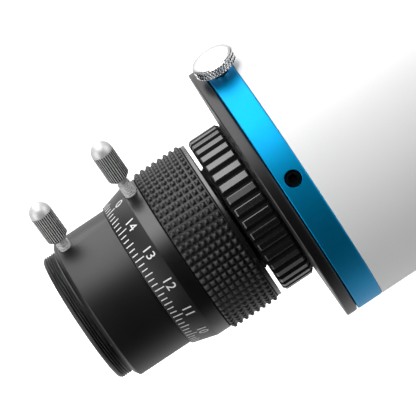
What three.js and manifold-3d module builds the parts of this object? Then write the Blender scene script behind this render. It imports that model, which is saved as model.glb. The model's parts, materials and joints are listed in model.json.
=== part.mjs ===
// Guide telescope with a scaled helical focuser, as a three.js scene graph in millimetres.
// +X runs along the optical axis towards the objective, +Z is up, and the origin is the point
// of the foot's flat underside that lies below the middle of the saddle. Inside the telescope
// group every place is measured from the optical axis (y = 0, z = 0) and from the rear seat of
// the black flange (x = 0).

import * as THREE from 'three';
import { mergeVertices } from 'three/addons/utils/BufferGeometryUtils.js';
import Module from 'manifold-3d';

const wasm = await Module();
wasm.setup();

// ---------------------------------------------------------------- driving dimensions, mm

// Clearances and facets
const runningClearance = 0.2;     // between a turning or sliding piece and what carries it
const endClearance = 0.15;        // between faces that move past or towards each other
const fitClearance = 0.1;         // between pieces that are screwed or pressed together
const saddleGap = 0.3;            // between the curved saddle and the tube it carries
const ringFacets = 36;            // sides of every piece turned about the optical axis
const screwFacets = 16;           // sides of screws, pins and their holes

// Main tube
const tubeRadius = 42.4;
const tubeWall = 2;
const tubeLength = 138;

// Flange and rear collar
const flangeRimWidth = 3.6;
const flangeSeatRise = 0.45;      // how far the seat stands behind the rim of the shallow cone
const flangeSeatMargin = 0.8;     // seat around the lock ring
const flangeSlit = 0.26;
const collarWidth = 8.24;
const collarEdgeChamfer = 0.3;
const collarSpigotLength = 14;
const collarSpigotWall = 2.6;
const collarWall = 6.5;           // around the rotator
const rotatorLength = 8.6;
const rotatorWall = 4.6;
const rotatorGrooveDepth = 1.6;
const rotatorGrooveFloor = 0.6;   // half width of the flat at the bottom of the groove
const setScrewRadius = 2.5;
const setScrewAngles = [60, 180, 300];
const setScrewTipRadius = 0.5;
const setScrewSink = 1.5;         // how far a set screw sits below the collar's surface
const setScrewSocketFlats = 2.5;
const setScrewSocketDepth = 2;

// Rotator lock knob
const knobRadius = 6.5;
const knobRimHeight = 3.2;
const knobDome = 0.6;
const knobStandoff = 2.2;
const knobShankRadius = 2.25;
const knobHoleClearance = 0.35;
const padStep = 0.25;             // pad below the shank's radius
const padHeight = 1.2;

// Lock ring behind the flange
const lockRingRadius = 26.2;
const lockRingWidth = 10.55;
const lockRingRibs = 40;
const lockRingGrooveDepth = 1.06;
const lockRingChamfer = 1;
const lockWasherThickness = 0.3;
const lockWasherInset = 1.3;
const lockRingGap = 1.2;          // free gap to the focus ring when the lock ring is slack

// Neck tube that carries the focuser
const neckBoreStep = 0.2;         // neck bore over the eyepiece bore
const neckWall = 1.3;
const neckInset = 2.1;            // neck's rear end inside the thimble
const neckNutWidth = 4;
const neckNutWall = 4.5;
const bearingWidth = 2.6;
const thrustWasherThickness = 0.5;
const thrustWasherWidth = 1.6;
const guidePinRadius = 1.25;
const guidePinInset = 3;          // pins in front of the neck's rear end
const guidePinHeight = 2.2;       // how far a pin stands out of the neck
const guidePinAngles = [90, 210, 330];

// Focus ring: scale thimble, knurled grip and retaining ring
const rimWidth = 1.2;
const rimStep = 0.2;              // retaining rim over the band
const retainerSpigot = 1.6;
const gripWidth = 16.3;
const gripWall = 1.7;
const gripSlit = 0.3;
const bandWidth = 4.5;
const bandWall = 4;
const coneLength = 7.8;
const coneEdgeWall = 1.8;         // thimble wall at the cone's small end
const recessStep = 2.2;           // bearing recess over the thimble's bore
const recessWall = 1;

// Draw tube
const drawTubeWall = 4.2;
const barrelStep = 1.44;          // barrel over the helicoid
const barrelLength = 17.5;
const shoulderLength = 1;
const shoulderStep = 0.8;
const shoulderClearance = 0.05;   // the seat starts just outside the thread crests
const threadRadius = 21;          // crests of the 42 mm camera thread
const threadLength = 4.6;
const threadChamfer = 0.7;
const threadReliefWidth = 0.8;
const threadReliefDepth = 0.4;
const socketRadius = 15.9;        // 1.25 inch eyepiece bore
const drawTubeInset = 0.2;        // draw tube's front end behind the bearing recess
const guideSlotRun = 2;           // slot left behind the guide pins at rest
const clampRingWidth = 6;
const clampRingWall = 0.55;
const clampRingSplit = 4;

// Thumb screws
const thumbShankRadius = 1.95;
const thumbNeckRadius = 1.65;
const thumbNeckLength = 1.5;
const thumbHeadRadius = 3.4;
const thumbHeadChamfer = 1.1;
const thumbHeadLength = 9.2;
const thumbTipRadius = 1.5;
const thumbTipLength = 1.2;
const clampScrewInset = 2.9;      // clamp screw axis, in front of the barrel's rear edge
const clampHeadStandoff = 3.36;   // from the barrel to the underside of the head
const focusLockInset = 2.5;       // focus lock screw axis, behind the band's front edge
const focusLockStandoff = 5.86;

// Objective
const cellRearLength = 10;
const cellLipWidth = 3.5;
const cellFrontMargin = 2.7;      // cell in front of the retaining ring
const cellFrontStep = 1.4;
const cellWall = 3.6;
const lensEdgeSeat = 2;
const cellSeatWidth = 3;
const crownCurve = 170;
const crownEdge = 2.15;
const flintCurveStep = 5;         // flint's hollow face is this much more curved than the crown
const flintRearCurve = 600;
const flintCentre = 3;
const lensRings = 3;
const spacerThickness = 0.3;
const spacerWidth = 0.8;
const retainerWidth = 3;
const focalLength = 280;
const fieldRadius = 8;

// Baffles inside the tube
const baffleSetback = 34;         // front baffle, behind the front end of the tube
const baffleThickness = 1;
const baffleSkirt = 6;
const baffleSkirtWall = 0.9;
const baffleMargin = 1;

// Dew shield
const shieldClearance = 0.9;
const shieldWall = 1.7;
const shieldLength = 84;
const shieldOverlap = 14;         // length of tube inside the shield when it is drawn out
const linerGap = 0.2;
const linerLength = 13;

// Foot
const footCentre = 60;            // from the flange seat to the middle of the saddle
const barLength = 90;
const barAdvance = 11;            // the bar reaches further forward than the saddle
const barWidth = 43.5;
const barTopWidth = 36;
const barHeight = 14;
const barEdgeHeight = 3;
const barScrewSpacing = 44;
const barThreadSpacing = 72;
const barThreadRadius = 3.18;
const barThreadDepth = 10;
const footScrewRadius = 2.9;
const footScrewHeadRadius = 4.9;
const footScrewHeadHeight = 5;
const footScrewSink = 1.2;
const footScrewReach = 4.4;       // thread in the saddle
const footHoleClearance = 0.3;
const saddleLength = 60;
const saddleWidth = 34;
const saddleFloor = 6;            // from the bar to the underside of the tube
const saddleScrewSpacing = 22;
const saddleScrewRadius = 2;
const saddleScrewHeadRadius = 3.5;
const saddleScrewHeadHeight = 2.2;
const saddleScrewReach = 4.6;

// ---------------------------------------------------------------- places that follow from them

const collarRear = flangeRimWidth + flangeSlit;
const collarFront = collarRear + collarWidth;
const collarMiddle = (collarRear + collarFront) / 2;
const tubeFront = collarFront + tubeLength;
const tubeBore = tubeRadius - tubeWall;
const rotatorBore = tubeRadius - collarWall;
const rotatorRadius = rotatorBore - runningClearance;

const neckBore = socketRadius + neckBoreStep;
const neckRadius = neckBore + neckWall;
const neckSeatBore = neckRadius + fitClearance;
const neckFront = flangeRimWidth + fitClearance + neckNutWidth + fitClearance;
const counterboreRadius = neckRadius + runningClearance;
const helicoidRadius = counterboreRadius + drawTubeWall;
const barrelRadius = helicoidRadius + barrelStep;
const thimbleBore = helicoidRadius + runningClearance;
const bandRadius = thimbleBore + bandWall;
const coneSmallRadius = thimbleBore + coneEdgeWall;
const recessRadius = thimbleBore + recessStep;
const bearingRadius = recessRadius - runningClearance;
const gripSeatRadius = recessRadius + recessWall + fitClearance;
const gripRadius = gripSeatRadius + gripWall;
const rimRadius = bandRadius + rimStep;
const shoulderRadius = threadRadius + shoulderStep;

const washerRear = -flangeSeatRise - lockWasherThickness;
const lockRingFront = washerRear;
const lockRingRear = lockRingFront - lockRingWidth;
const rimFront = lockRingRear - lockRingGap;
const rimRear = rimFront - rimWidth;
const gripFront = rimRear;
const gripRear = gripFront - gripWidth;
const bandFront = gripRear - gripSlit;
const bandRear = bandFront - bandWidth;
const thimbleRear = bandRear - coneLength;

const spigotRear = gripFront - retainerSpigot;
const frontThrustFront = spigotRear - endClearance;
const bearingFront = frontThrustFront - thrustWasherThickness;
const bearingRear = bearingFront - bearingWidth;
const rearThrustRear = bearingRear - thrustWasherThickness;
const recessFloor = rearThrustRear - endClearance;

const neckRear = thimbleRear + neckInset;
const guidePinX = neckRear + guidePinInset;
const drawTubeFront = recessFloor - drawTubeInset;
const barrelFront = thimbleRear - fitClearance;
const barrelRear = barrelFront - barrelLength;
const shoulderRear = barrelRear - shoulderLength;
const drawTubeRear = shoulderRear - threadLength;
const counterboreFloor = neckRear - 2 * endClearance;
const clampScrewX = barrelRear + clampScrewInset;
const clampRingOuter = socketRadius + clampRingWall;
const focusLockX = bandFront - focusLockInset;

const cellSeatX = tubeFront - cellRearLength + cellSeatWidth;
const cellLipFront = tubeFront + cellLipWidth;
const cellBore = tubeBore - fitClearance - cellWall;
const lensRadius = cellBore - runningClearance;
const seatBore = lensRadius - lensEdgeSeat;

const shieldBore = tubeRadius + shieldClearance;
const shieldRadius = shieldBore + shieldWall;
const shieldRear = tubeFront - shieldOverlap;
const axisHeight = barHeight + saddleFloor + tubeRadius;

// ---------------------------------------------------------------- finishes

function finish(color, roughness, metalness, extra = {}) {
  return new THREE.MeshStandardMaterial({ color, roughness, metalness, ...extra });
}

const finishes = {
  whitePaint: () => finish(0xe8e8ea, 0.38, 0),
  blueAnodised: () => finish(0x1fb4ea, 0.3, 0.8),
  blackAnodised: () => finish(0x1d1d1f, 0.42, 0.6),
  blackMatt: () => finish(0x121213, 0.85, 0.1),
  steel: () => finish(0xb9bbbe, 0.28, 1),
  brass: () => finish(0xc2a04c, 0.35, 1),
  nylon: () => finish(0xece9df, 0.55, 0),
  slipPlastic: () => finish(0xd9dadb, 0.5, 0),
  felt: () => finish(0x18181a, 0.95, 0),
  glass: () => finish(0xd6e6e4, 0.05, 0, { transparent: true, opacity: 0.35 }),
};

// ---------------------------------------------------------------- solids

// Joins shared corners and drops collapsed triangles, so that the surface is closed.
function closed(geometry) {
  geometry.deleteAttribute('normal');
  geometry.deleteAttribute('uv');
  const merged = mergeVertices(geometry, 1e-4);
  const index = Array.from(merged.index.array);
  const kept = [];
  for (let i = 0; i < index.length; i += 3) {
    const [a, b, c] = index.slice(i, i + 3);
    if (a !== b && b !== c && c !== a) kept.push(a, b, c);
  }
  merged.setIndex(kept);
  return merged;
}

function toSolid(geometry) {
  const merged = closed(geometry);
  return new wasm.Manifold(new wasm.Mesh({
    numProp: 3,
    vertProperties: new Float32Array(merged.attributes.position.array),
    triVerts: new Uint32Array(merged.index.array),
  }));
}

function toGeometry(solid) {
  const mesh = solid.getMesh();
  const geometry = new THREE.BufferGeometry();
  geometry.setAttribute('position', new THREE.BufferAttribute(mesh.vertProperties, 3));
  geometry.setIndex(new THREE.BufferAttribute(mesh.triVerts, 1));
  return geometry;
}

// Takes a list of cutting geometries out of a geometry.
function cut(geometry, cutters) {
  let solid = toSolid(geometry);
  for (const cutter of cutters) solid = solid.subtract(toSolid(cutter));
  return toGeometry(solid);
}

// Puts an outline the right way round, so that a turned surface faces outwards.
function orderedOutline(points) {
  let area = 0;
  points.forEach(([x, r], i) => {
    const [nextX, nextR] = points[(i + 1) % points.length];
    area += x * nextR - nextX * r;
  });
  return area > 0 ? [...points].reverse() : points;
}

// A ring or disc turned about the optical axis, from an outline of [x, radius] points.
function turned(points, facets = ringFacets) {
  const outline = orderedOutline(points);
  const loop = [...outline, outline[0]].map(([x, r]) => new THREE.Vector2(r, x));
  const geometry = new THREE.LatheGeometry(loop, facets);
  geometry.rotateZ(-Math.PI / 2);
  return closed(geometry);
}

// A screw or pin turned about its own upright axis, from an outline of [z, radius] points.
function turnedUpright(points, facets = screwFacets) {
  const geometry = turned(points, facets);
  geometry.rotateY(-Math.PI / 2);
  return geometry;
}

// A plain ring between two places on the optical axis.
function ring(rear, front, inner, outer, facets = ringFacets) {
  return turned([[rear, inner], [rear, outer], [front, outer], [front, inner]], facets);
}

// A round cutter whose axis points outwards from the optical axis, turned to an angle from +Z.
function radialHole(x, radius, bottom, top, degrees = 0) {
  const geometry = new THREE.CylinderGeometry(radius, radius, top - bottom, screwFacets);
  geometry.rotateX(Math.PI / 2);
  geometry.translate(x, 0, (bottom + top) / 2);
  geometry.rotateX(THREE.MathUtils.degToRad(degrees));
  return geometry;
}

// Depth of a spherical surface of a given radius of curvature at a distance from its axis.
function sag(curve, distance) {
  return curve - Math.sqrt(curve * curve - distance * distance);
}

// ---------------------------------------------------------------- assembly

const telescope = new THREE.Group();
telescope.position.set(-footCentre, 0, axisHeight);
const assembly = new THREE.Group();
assembly.add(telescope);

function place(name, geometry, material, x = 0, z = 0, degrees = 0) {
  const mesh = new THREE.Mesh(geometry, material);
  mesh.name = name;
  const angle = THREE.MathUtils.degToRad(degrees);
  mesh.position.set(x, -Math.sin(angle) * z, Math.cos(angle) * z);
  mesh.rotation.x = angle;
  telescope.add(mesh);
}

// ---------------------------------------------------------------- tube, collar and baffles

const saddleScrewPlaces = [-1, 1].map((side) => footCentre + side * saddleScrewSpacing / 2);

place('main_tube', cut(
  ring(collarFront, tubeFront, tubeBore, tubeRadius),
  saddleScrewPlaces.map((x) => radialHole(
    x, saddleScrewRadius + fitClearance, tubeBore - tubeWall, tubeRadius + tubeWall, 180,
  )),
), finishes.whitePaint());

const collarSpigotRadius = tubeBore - fitClearance;
const collarStop = collarRear + rotatorLength + endClearance;
place('rear_collar', cut(
  turned([
    [collarRear, rotatorBore],
    [collarRear, tubeRadius],
    [collarFront - collarEdgeChamfer, tubeRadius],
    [collarFront, tubeRadius - collarEdgeChamfer],
    [collarFront, collarSpigotRadius],
    [collarFront + collarSpigotLength, collarSpigotRadius],
    [collarFront + collarSpigotLength, collarSpigotRadius - collarSpigotWall],
    [collarStop + collarSpigotWall, collarSpigotRadius - collarSpigotWall],
    [collarStop + collarSpigotWall, rotatorRadius - rotatorWall],
    [collarStop, rotatorRadius - rotatorWall],
    [collarStop, rotatorBore],
  ]),
  [
    radialHole(collarMiddle, knobShankRadius + knobHoleClearance, rotatorRadius, tubeRadius + 1),
    ...setScrewAngles.map((angle) => radialHole(
      collarMiddle, setScrewRadius + fitClearance, rotatorRadius, tubeRadius + 1, angle,
    )),
  ],
), finishes.blueAnodised());

function setScrew() {
  const tip = rotatorRadius - rotatorGrooveDepth + endClearance * 2;
  const top = tubeRadius - setScrewSink;
  const shoulder = tip + setScrewRadius - setScrewTipRadius;
  const body = turnedUpright([
    [tip, 0], [tip, setScrewTipRadius], [shoulder, setScrewRadius], [top, setScrewRadius], [top, 0],
  ]);
  const socketCorner = setScrewSocketFlats / Math.sqrt(3);
  const socket = new THREE.CylinderGeometry(socketCorner, socketCorner, setScrewSocketDepth * 2, 6);
  socket.rotateX(Math.PI / 2);
  socket.translate(0, 0, top);
  return cut(body, [socket]);
}

setScrewAngles.forEach((angle, i) => {
  place(`collar_set_screw_${i + 1}`, setScrew(), finishes.steel(), collarMiddle, 0, angle);
});

// Radius of the cone of light from the objective to the edge of the field, at a place in the tube.
function lightRadius(x) {
  const share = (x - (tubeFront - focalLength)) / focalLength;
  return fieldRadius + (seatBore - fieldRadius) * share;
}

// The front baffle is set from the objective, the rear one sits between the saddle screws.
const baffleFronts = [tubeFront - baffleSetback, footCentre + baffleSkirt / 2];
baffleFronts.forEach((front, i) => {
  const outer = tubeBore - fitClearance;
  place(`baffle_${i + 1}`, turned([
    [front - baffleThickness, lightRadius(front) + baffleMargin],
    [front - baffleThickness, outer - baffleSkirtWall],
    [front - baffleSkirt, outer - baffleSkirtWall],
    [front - baffleSkirt, outer],
    [front, outer],
    [front, lightRadius(front) + baffleMargin],
  ]), finishes.blackMatt());
});

// ---------------------------------------------------------------- objective

// How far a bulging lens face stands proud of its edge at the bore of the ring that touches it.
function rimRise(curve, bore) {
  return sag(curve, lensRadius) - sag(curve, bore);
}

const flintFrontCurve = crownCurve - flintCurveStep;
const flintEdge = flintCentre + sag(flintFrontCurve, lensRadius) - sag(flintRearCurve, lensRadius);
const flintRearEdge = cellSeatX + rimRise(flintRearCurve, seatBore) + fitClearance;
const flintFrontEdge = flintRearEdge + flintEdge;
const spacerBore = lensRadius - spacerWidth;
const spacerRear = flintFrontEdge + fitClearance / 2;
const spacerFront = spacerRear + spacerThickness;
const crownRearEdge = spacerFront + rimRise(crownCurve, spacerBore) + fitClearance / 2;
const crownFrontEdge = crownRearEdge + crownEdge;
const retainerRear = crownFrontEdge + rimRise(crownCurve, seatBore) + fitClearance;
const cellFront = retainerRear + retainerWidth + cellFrontMargin;

place('objective_cell', turned([
  [tubeFront - cellRearLength, seatBore],
  [tubeFront - cellRearLength, tubeBore - fitClearance],
  [tubeFront, tubeBore - fitClearance],
  [tubeFront, tubeRadius],
  [cellLipFront, tubeRadius],
  [cellLipFront, tubeRadius - cellFrontStep],
  [cellFront, tubeRadius - cellFrontStep],
  [cellFront, cellBore],
  [cellSeatX, cellBore],
  [cellSeatX, seatBore],
]), finishes.blackAnodised());

// Points of a lens face from its axis to its edge; bulge is +1 when the face bulges towards +X.
function lensFace(edgeX, curve, bulge) {
  const points = [];
  for (let i = 0; i <= lensRings; i += 1) {
    const r = lensRadius * i / lensRings;
    points.push([edgeX + bulge * (sag(curve, lensRadius) - sag(curve, r)), r]);
  }
  return points;
}

place('flint_lens', turned([
  ...lensFace(flintRearEdge, flintRearCurve, -1),
  ...lensFace(flintFrontEdge, flintFrontCurve, -1).reverse(),
]), finishes.glass());

place('crown_lens', turned([
  ...lensFace(crownRearEdge, crownCurve, -1),
  ...lensFace(crownFrontEdge, crownCurve, 1).reverse(),
]), finishes.glass());

place('lens_spacer', ring(spacerRear, spacerFront, spacerBore, lensRadius), finishes.slipPlastic());
place('lens_retaining_ring', ring(
  retainerRear, retainerRear + retainerWidth, seatBore, cellBore - fitClearance,
), finishes.blackAnodised());

// ---------------------------------------------------------------- focuser flange and neck

const grooveMouth = rotatorGrooveFloor + rotatorGrooveDepth;
place('rotator_flange', turned([
  [-flangeSeatRise, neckSeatBore],
  [-flangeSeatRise, lockRingRadius + flangeSeatMargin],
  [0, tubeRadius - collarEdgeChamfer],
  [collarEdgeChamfer, tubeRadius],
  [flangeRimWidth, tubeRadius],
  [flangeRimWidth, rotatorRadius],
  [collarMiddle - grooveMouth, rotatorRadius],
  [collarMiddle - rotatorGrooveFloor, rotatorRadius - rotatorGrooveDepth],
  [collarMiddle + rotatorGrooveFloor, rotatorRadius - rotatorGrooveDepth],
  [collarMiddle + grooveMouth, rotatorRadius],
  [collarRear + rotatorLength, rotatorRadius],
  [collarRear + rotatorLength, rotatorRadius - rotatorWall],
  [flangeRimWidth, rotatorRadius - rotatorWall],
  [flangeRimWidth, neckSeatBore],
]), finishes.blackAnodised());

place('neck_nut', ring(
  flangeRimWidth + fitClearance / 2,
  flangeRimWidth + fitClearance / 2 + neckNutWidth,
  neckSeatBore,
  neckSeatBore + neckNutWall,
), finishes.blackAnodised());

const pinPlaces = guidePinAngles.map((angle) => ({ angle, x: guidePinX }));

place('neck_tube', cut(
  turned([
    [neckRear, neckBore],
    [neckRear, neckRadius],
    [bearingRear, neckRadius],
    [bearingRear, bearingRadius],
    [bearingFront, bearingRadius],
    [bearingFront, neckRadius],
    [neckFront, neckRadius],
    [neckFront, neckBore],
  ]),
  pinPlaces.map(({ angle, x }) => radialHole(
    x, guidePinRadius + fitClearance, neckBore - neckWall, neckRadius + neckWall, angle,
  )),
), finishes.blackAnodised());

pinPlaces.forEach(({ angle, x }, i) => {
  const foot = neckBore + fitClearance;
  const top = neckRadius + guidePinHeight;
  const pin = turnedUpright([[foot, 0], [foot, guidePinRadius], [top, guidePinRadius], [top, 0]]);
  place(`guide_pin_${i + 1}`, pin, finishes.steel(), x, 0, angle);
});

const thrustInner = bearingRadius - thrustWasherWidth;
place('thrust_washer_rear', ring(
  rearThrustRear, bearingRear, thrustInner, bearingRadius,
), finishes.nylon());
place('thrust_washer_front', ring(
  bearingFront, frontThrustFront, thrustInner, bearingRadius,
), finishes.nylon());

// ---------------------------------------------------------------- lock ring

place('lock_ring_washer', ring(
  washerRear,
  -flangeSeatRise - fitClearance / 2,
  neckRadius + runningClearance,
  lockRingRadius - lockWasherInset,
), finishes.nylon());

function lockRing() {
  const halfPitch = Math.PI / lockRingRibs;
  const outer = lockRingRadius / Math.cos(halfPitch);
  const ends = outer - lockRingChamfer;
  const bore = (neckRadius + runningClearance) / Math.cos(halfPitch);
  const front = lockRingFront - fitClearance / 2;
  const body = turned([
    [lockRingRear, bore],
    [lockRingRear, ends],
    [lockRingRear + lockRingChamfer, outer],
    [front - lockRingChamfer, outer],
    [front, ends],
    [front, bore],
  ], lockRingRibs);
  const floor = lockRingRadius - lockRingGrooveDepth;
  const rise = lockRingGrooveDepth * 2;
  const grooves = [];
  for (let i = 0; i < lockRingRibs; i += 1) {
    const section = new THREE.Shape([
      new THREE.Vector2(0, floor),
      new THREE.Vector2(rise, floor + rise),
      new THREE.Vector2(-rise, floor + rise),
    ]);
    const groove = new THREE.ExtrudeGeometry(section, { depth: lockRingWidth + 2, bevelEnabled: false });
    groove.translate(0, 0, lockRingRear - 1);
    groove.rotateY(Math.PI / 2);
    groove.rotateX(Math.PI / 2);
    groove.rotateX(i * 2 * halfPitch);
    grooves.push(groove);
  }
  return cut(body, grooves);
}

place('lock_ring', lockRing(), finishes.blackAnodised());

// ---------------------------------------------------------------- focus ring

place('scale_thimble', cut(
  turned([
    [thimbleRear, thimbleBore],
    [thimbleRear, coneSmallRadius],
    [bandRear, bandRadius],
    [bandFront, bandRadius],
    [bandFront, gripSeatRadius - fitClearance],
    [gripFront, gripSeatRadius - fitClearance],
    [gripFront, recessRadius],
    [recessFloor, recessRadius],
    [recessFloor, thimbleBore],
  ]),
  [radialHole(focusLockX, thumbShankRadius + runningClearance, helicoidRadius, bandRadius + 1)],
), finishes.blackAnodised());

place('grip_ring', ring(gripRear, gripFront, gripSeatRadius, gripRadius), finishes.blackAnodised());

place('bearing_retaining_ring', turned([
  [spigotRear, neckRadius + runningClearance],
  [spigotRear, recessRadius - fitClearance],
  [rimRear, recessRadius - fitClearance],
  [rimRear, rimRadius],
  [rimFront, rimRadius],
  [rimFront, neckRadius + runningClearance],
]), finishes.blackAnodised());

// ---------------------------------------------------------------- draw tube

const slotWidth = 2 * (guidePinRadius + runningClearance);
const slotDepth = neckRadius + guidePinHeight + runningClearance;
const slotRear = guidePinX - guidePinRadius - guideSlotRun;
const clampGroove = clampRingOuter + fitClearance;
const clampGrooveHalf = clampRingWidth / 2 + fitClearance;
const drawTube = cut(
  turned([
    [drawTubeRear, socketRadius],
    [drawTubeRear, threadRadius - threadChamfer],
    [drawTubeRear + threadChamfer, threadRadius],
    [shoulderRear - threadReliefWidth, threadRadius],
    [shoulderRear - threadReliefWidth, threadRadius - threadReliefDepth],
    [shoulderRear - threadReliefDepth - shoulderClearance, threadRadius - threadReliefDepth],
    [shoulderRear, threadRadius + shoulderClearance],
    [shoulderRear, shoulderRadius],
    [barrelRear, barrelRadius],
    [barrelFront, barrelRadius],
    [barrelFront, helicoidRadius],
    [drawTubeFront, helicoidRadius],
    [drawTubeFront, counterboreRadius],
    [counterboreFloor, counterboreRadius],
    [counterboreFloor, socketRadius],
    [clampScrewX + clampGrooveHalf, socketRadius],
    [clampScrewX + clampGrooveHalf, clampGroove],
    [clampScrewX - clampGrooveHalf, clampGroove],
    [clampScrewX - clampGrooveHalf, socketRadius],
  ]),
  [
    radialHole(clampScrewX, thumbShankRadius + runningClearance, socketRadius, barrelRadius + 1),
    ...guidePinAngles.map((angle) => {
      const length = drawTubeFront - slotRear + 1;
      const slot = new THREE.BoxGeometry(length, slotWidth, slotDepth);
      slot.translate(slotRear + length / 2, 0, slotDepth / 2);
      slot.rotateX(THREE.MathUtils.degToRad(angle));
      return slot;
    }),
  ],
);
place('draw_tube', drawTube, finishes.blackAnodised());

const split = new THREE.BoxGeometry(clampRingWidth * 2, clampRingSplit, socketRadius * 2);
split.translate(clampScrewX, 0, -socketRadius);
place('eyepiece_clamp_ring', cut(
  ring(
    clampScrewX - clampRingWidth / 2, clampScrewX + clampRingWidth / 2, socketRadius, clampRingOuter,
  ),
  [split],
), finishes.brass());

// ---------------------------------------------------------------- thumb screws and knob

// Steps of a quarter arc from a cylinder's edge up to its crown, as [z, radius] points.
function domePoints(edgeZ, radius, height, steps) {
  const points = [];
  for (let i = 1; i <= steps; i += 1) {
    const angle = (i / steps) * Math.PI / 2;
    points.push([edgeZ + height * Math.sin(angle), i === steps ? 0 : radius * Math.cos(angle)]);
  }
  return points;
}

function thumbScrew(shankBottom, headBottom) {
  const headEdge = headBottom + thumbHeadChamfer;
  const headTop = headEdge + thumbHeadLength;
  return turnedUpright([
    [shankBottom, 0],
    [shankBottom, thumbShankRadius],
    [headBottom - thumbNeckLength, thumbShankRadius],
    [headBottom - thumbNeckLength, thumbNeckRadius],
    [headBottom, thumbNeckRadius],
    [headBottom, thumbHeadRadius - thumbHeadChamfer],
    [headEdge, thumbHeadRadius],
    [headTop, thumbHeadRadius],
    ...domePoints(headTop, thumbHeadRadius, thumbHeadRadius, 4),
  ]);
}

function screwTip(bottom, radius, height) {
  return turnedUpright([[bottom, 0], [bottom, radius], [bottom + height, radius], [bottom + height, 0]]);
}

const clampTipBottom = clampRingOuter + endClearance;
place('eyepiece_clamp_tip', screwTip(clampTipBottom, thumbTipRadius, thumbTipLength),
  finishes.nylon(), clampScrewX);
place('eyepiece_clamp_screw', thumbScrew(clampTipBottom + thumbTipLength, barrelRadius + clampHeadStandoff),
  finishes.steel(), clampScrewX);

const focusTipBottom = helicoidRadius + endClearance;
place('focus_lock_tip', screwTip(focusTipBottom, thumbTipRadius, thumbTipLength),
  finishes.nylon(), focusLockX);
place('focus_lock_screw', thumbScrew(focusTipBottom + thumbTipLength, bandRadius + focusLockStandoff),
  finishes.steel(), focusLockX);

const padBottom = rotatorRadius + endClearance;
const knobBottom = tubeRadius + knobStandoff;
place('rotator_lock_pad', screwTip(padBottom, knobShankRadius - padStep, padHeight), finishes.brass(), collarMiddle);
place('rotator_lock_knob', turnedUpright([
  [padBottom + padHeight, 0],
  [padBottom + padHeight, knobShankRadius],
  [knobBottom, knobShankRadius],
  [knobBottom, knobRadius],
  [knobBottom + knobRimHeight, knobRadius],
  ...domePoints(knobBottom + knobRimHeight, knobRadius, knobDome, 3),
], 24), finishes.steel(), collarMiddle);

// ---------------------------------------------------------------- dew shield

place('dew_shield', ring(shieldRear, shieldRear + shieldLength, shieldBore, shieldRadius),
  finishes.whitePaint());
place('dew_shield_liner', ring(
  shieldRear + 1, shieldRear + 1 + linerLength, tubeRadius + linerGap, shieldBore - fitClearance,
), finishes.felt());

// ---------------------------------------------------------------- foot

function extrudedAlongX(points, centre, length) {
  const section = new THREE.Shape(points.map(([y, z]) => new THREE.Vector2(y, z)));
  const geometry = new THREE.ExtrudeGeometry(section, { depth: length, bevelEnabled: false });
  geometry.rotateX(Math.PI / 2);
  geometry.rotateZ(Math.PI / 2);
  geometry.translate(centre - length / 2, 0, 0);
  return geometry;
}

const barBottom = -axisHeight;
const barTop = barBottom + barHeight;
const barScrewPlaces = [-1, 1].map((side) => footCentre + side * barScrewSpacing / 2);
const barCentre = footCentre + barAdvance;
const barThreadPlaces = [-1, 1].map((side) => barCentre + side * barThreadSpacing / 2);
const headPocket = footScrewHeadHeight + footScrewSink;

place('dovetail_bar', cut(
  extrudedAlongX([
    [-barWidth / 2, barBottom],
    [barWidth / 2, barBottom],
    [barWidth / 2, barBottom + barEdgeHeight],
    [barTopWidth / 2, barTop],
    [-barTopWidth / 2, barTop],
    [-barWidth / 2, barBottom + barEdgeHeight],
  ], barCentre, barLength),
  [
    ...barScrewPlaces.map((x) => radialHole(
      x, footScrewRadius + footHoleClearance, barBottom - 1, barTop + 1,
    )),
    ...barScrewPlaces.map((x) => radialHole(
      x, footScrewHeadRadius + footHoleClearance, barBottom - 1, barBottom + headPocket,
    )),
    ...barThreadPlaces.map((x) => radialHole(
      x, barThreadRadius, barBottom - 1, barBottom + barThreadDepth,
    )),
  ],
), finishes.blackAnodised());

const saddleHalf = saddleWidth / 2;
const saddleTop = -Math.sqrt(tubeRadius ** 2 - saddleHalf ** 2);
const saddleBed = ring(collarFront, tubeFront, tubeBore / 2, tubeRadius + saddleGap);
place('foot_saddle', cut(
  extrudedAlongX([
    [-saddleHalf, barTop], [saddleHalf, barTop], [saddleHalf, saddleTop], [-saddleHalf, saddleTop],
  ], footCentre, saddleLength),
  [
    saddleBed,
    ...barScrewPlaces.map((x) => radialHole(
      x, footScrewRadius + fitClearance, barTop - 1, barTop + footScrewReach + endClearance,
    )),
    ...saddleScrewPlaces.map((x) => radialHole(
      x, saddleScrewRadius + fitClearance, -tubeRadius - saddleScrewReach - endClearance, -tubeRadius + 1,
    )),
  ],
), finishes.blackAnodised());

function barScrew() {
  const headBottom = barBottom + footScrewSink;
  const headTop = headBottom + footScrewHeadHeight - fitClearance;
  const end = barTop + footScrewReach;
  return turnedUpright([
    [headBottom, 0],
    [headBottom, footScrewHeadRadius],
    [headTop, footScrewHeadRadius],
    [headTop, footScrewRadius],
    [end, footScrewRadius],
    [end, 0],
  ]);
}

function saddleScrew() {
  const seat = -(tubeBore - 2 * fitClearance) * Math.cos(Math.PI / ringFacets) + fitClearance;
  const top = seat + saddleScrewHeadHeight;
  const end = -tubeRadius - saddleScrewReach;
  return turnedUpright([
    [end, 0],
    [end, saddleScrewRadius],
    [seat, saddleScrewRadius],
    [seat, saddleScrewHeadRadius],
    [top, saddleScrewHeadRadius],
    [top, 0],
  ]);
}

const ends = ['rear', 'front'];
ends.forEach((end, i) => {
  place(`bar_screw_${end}`, barScrew(), finishes.steel(), barScrewPlaces[i]);
  place(`saddle_screw_${end}`, saddleScrew(), finishes.steel(), saddleScrewPlaces[i]);
});

export default assembly;
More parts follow.
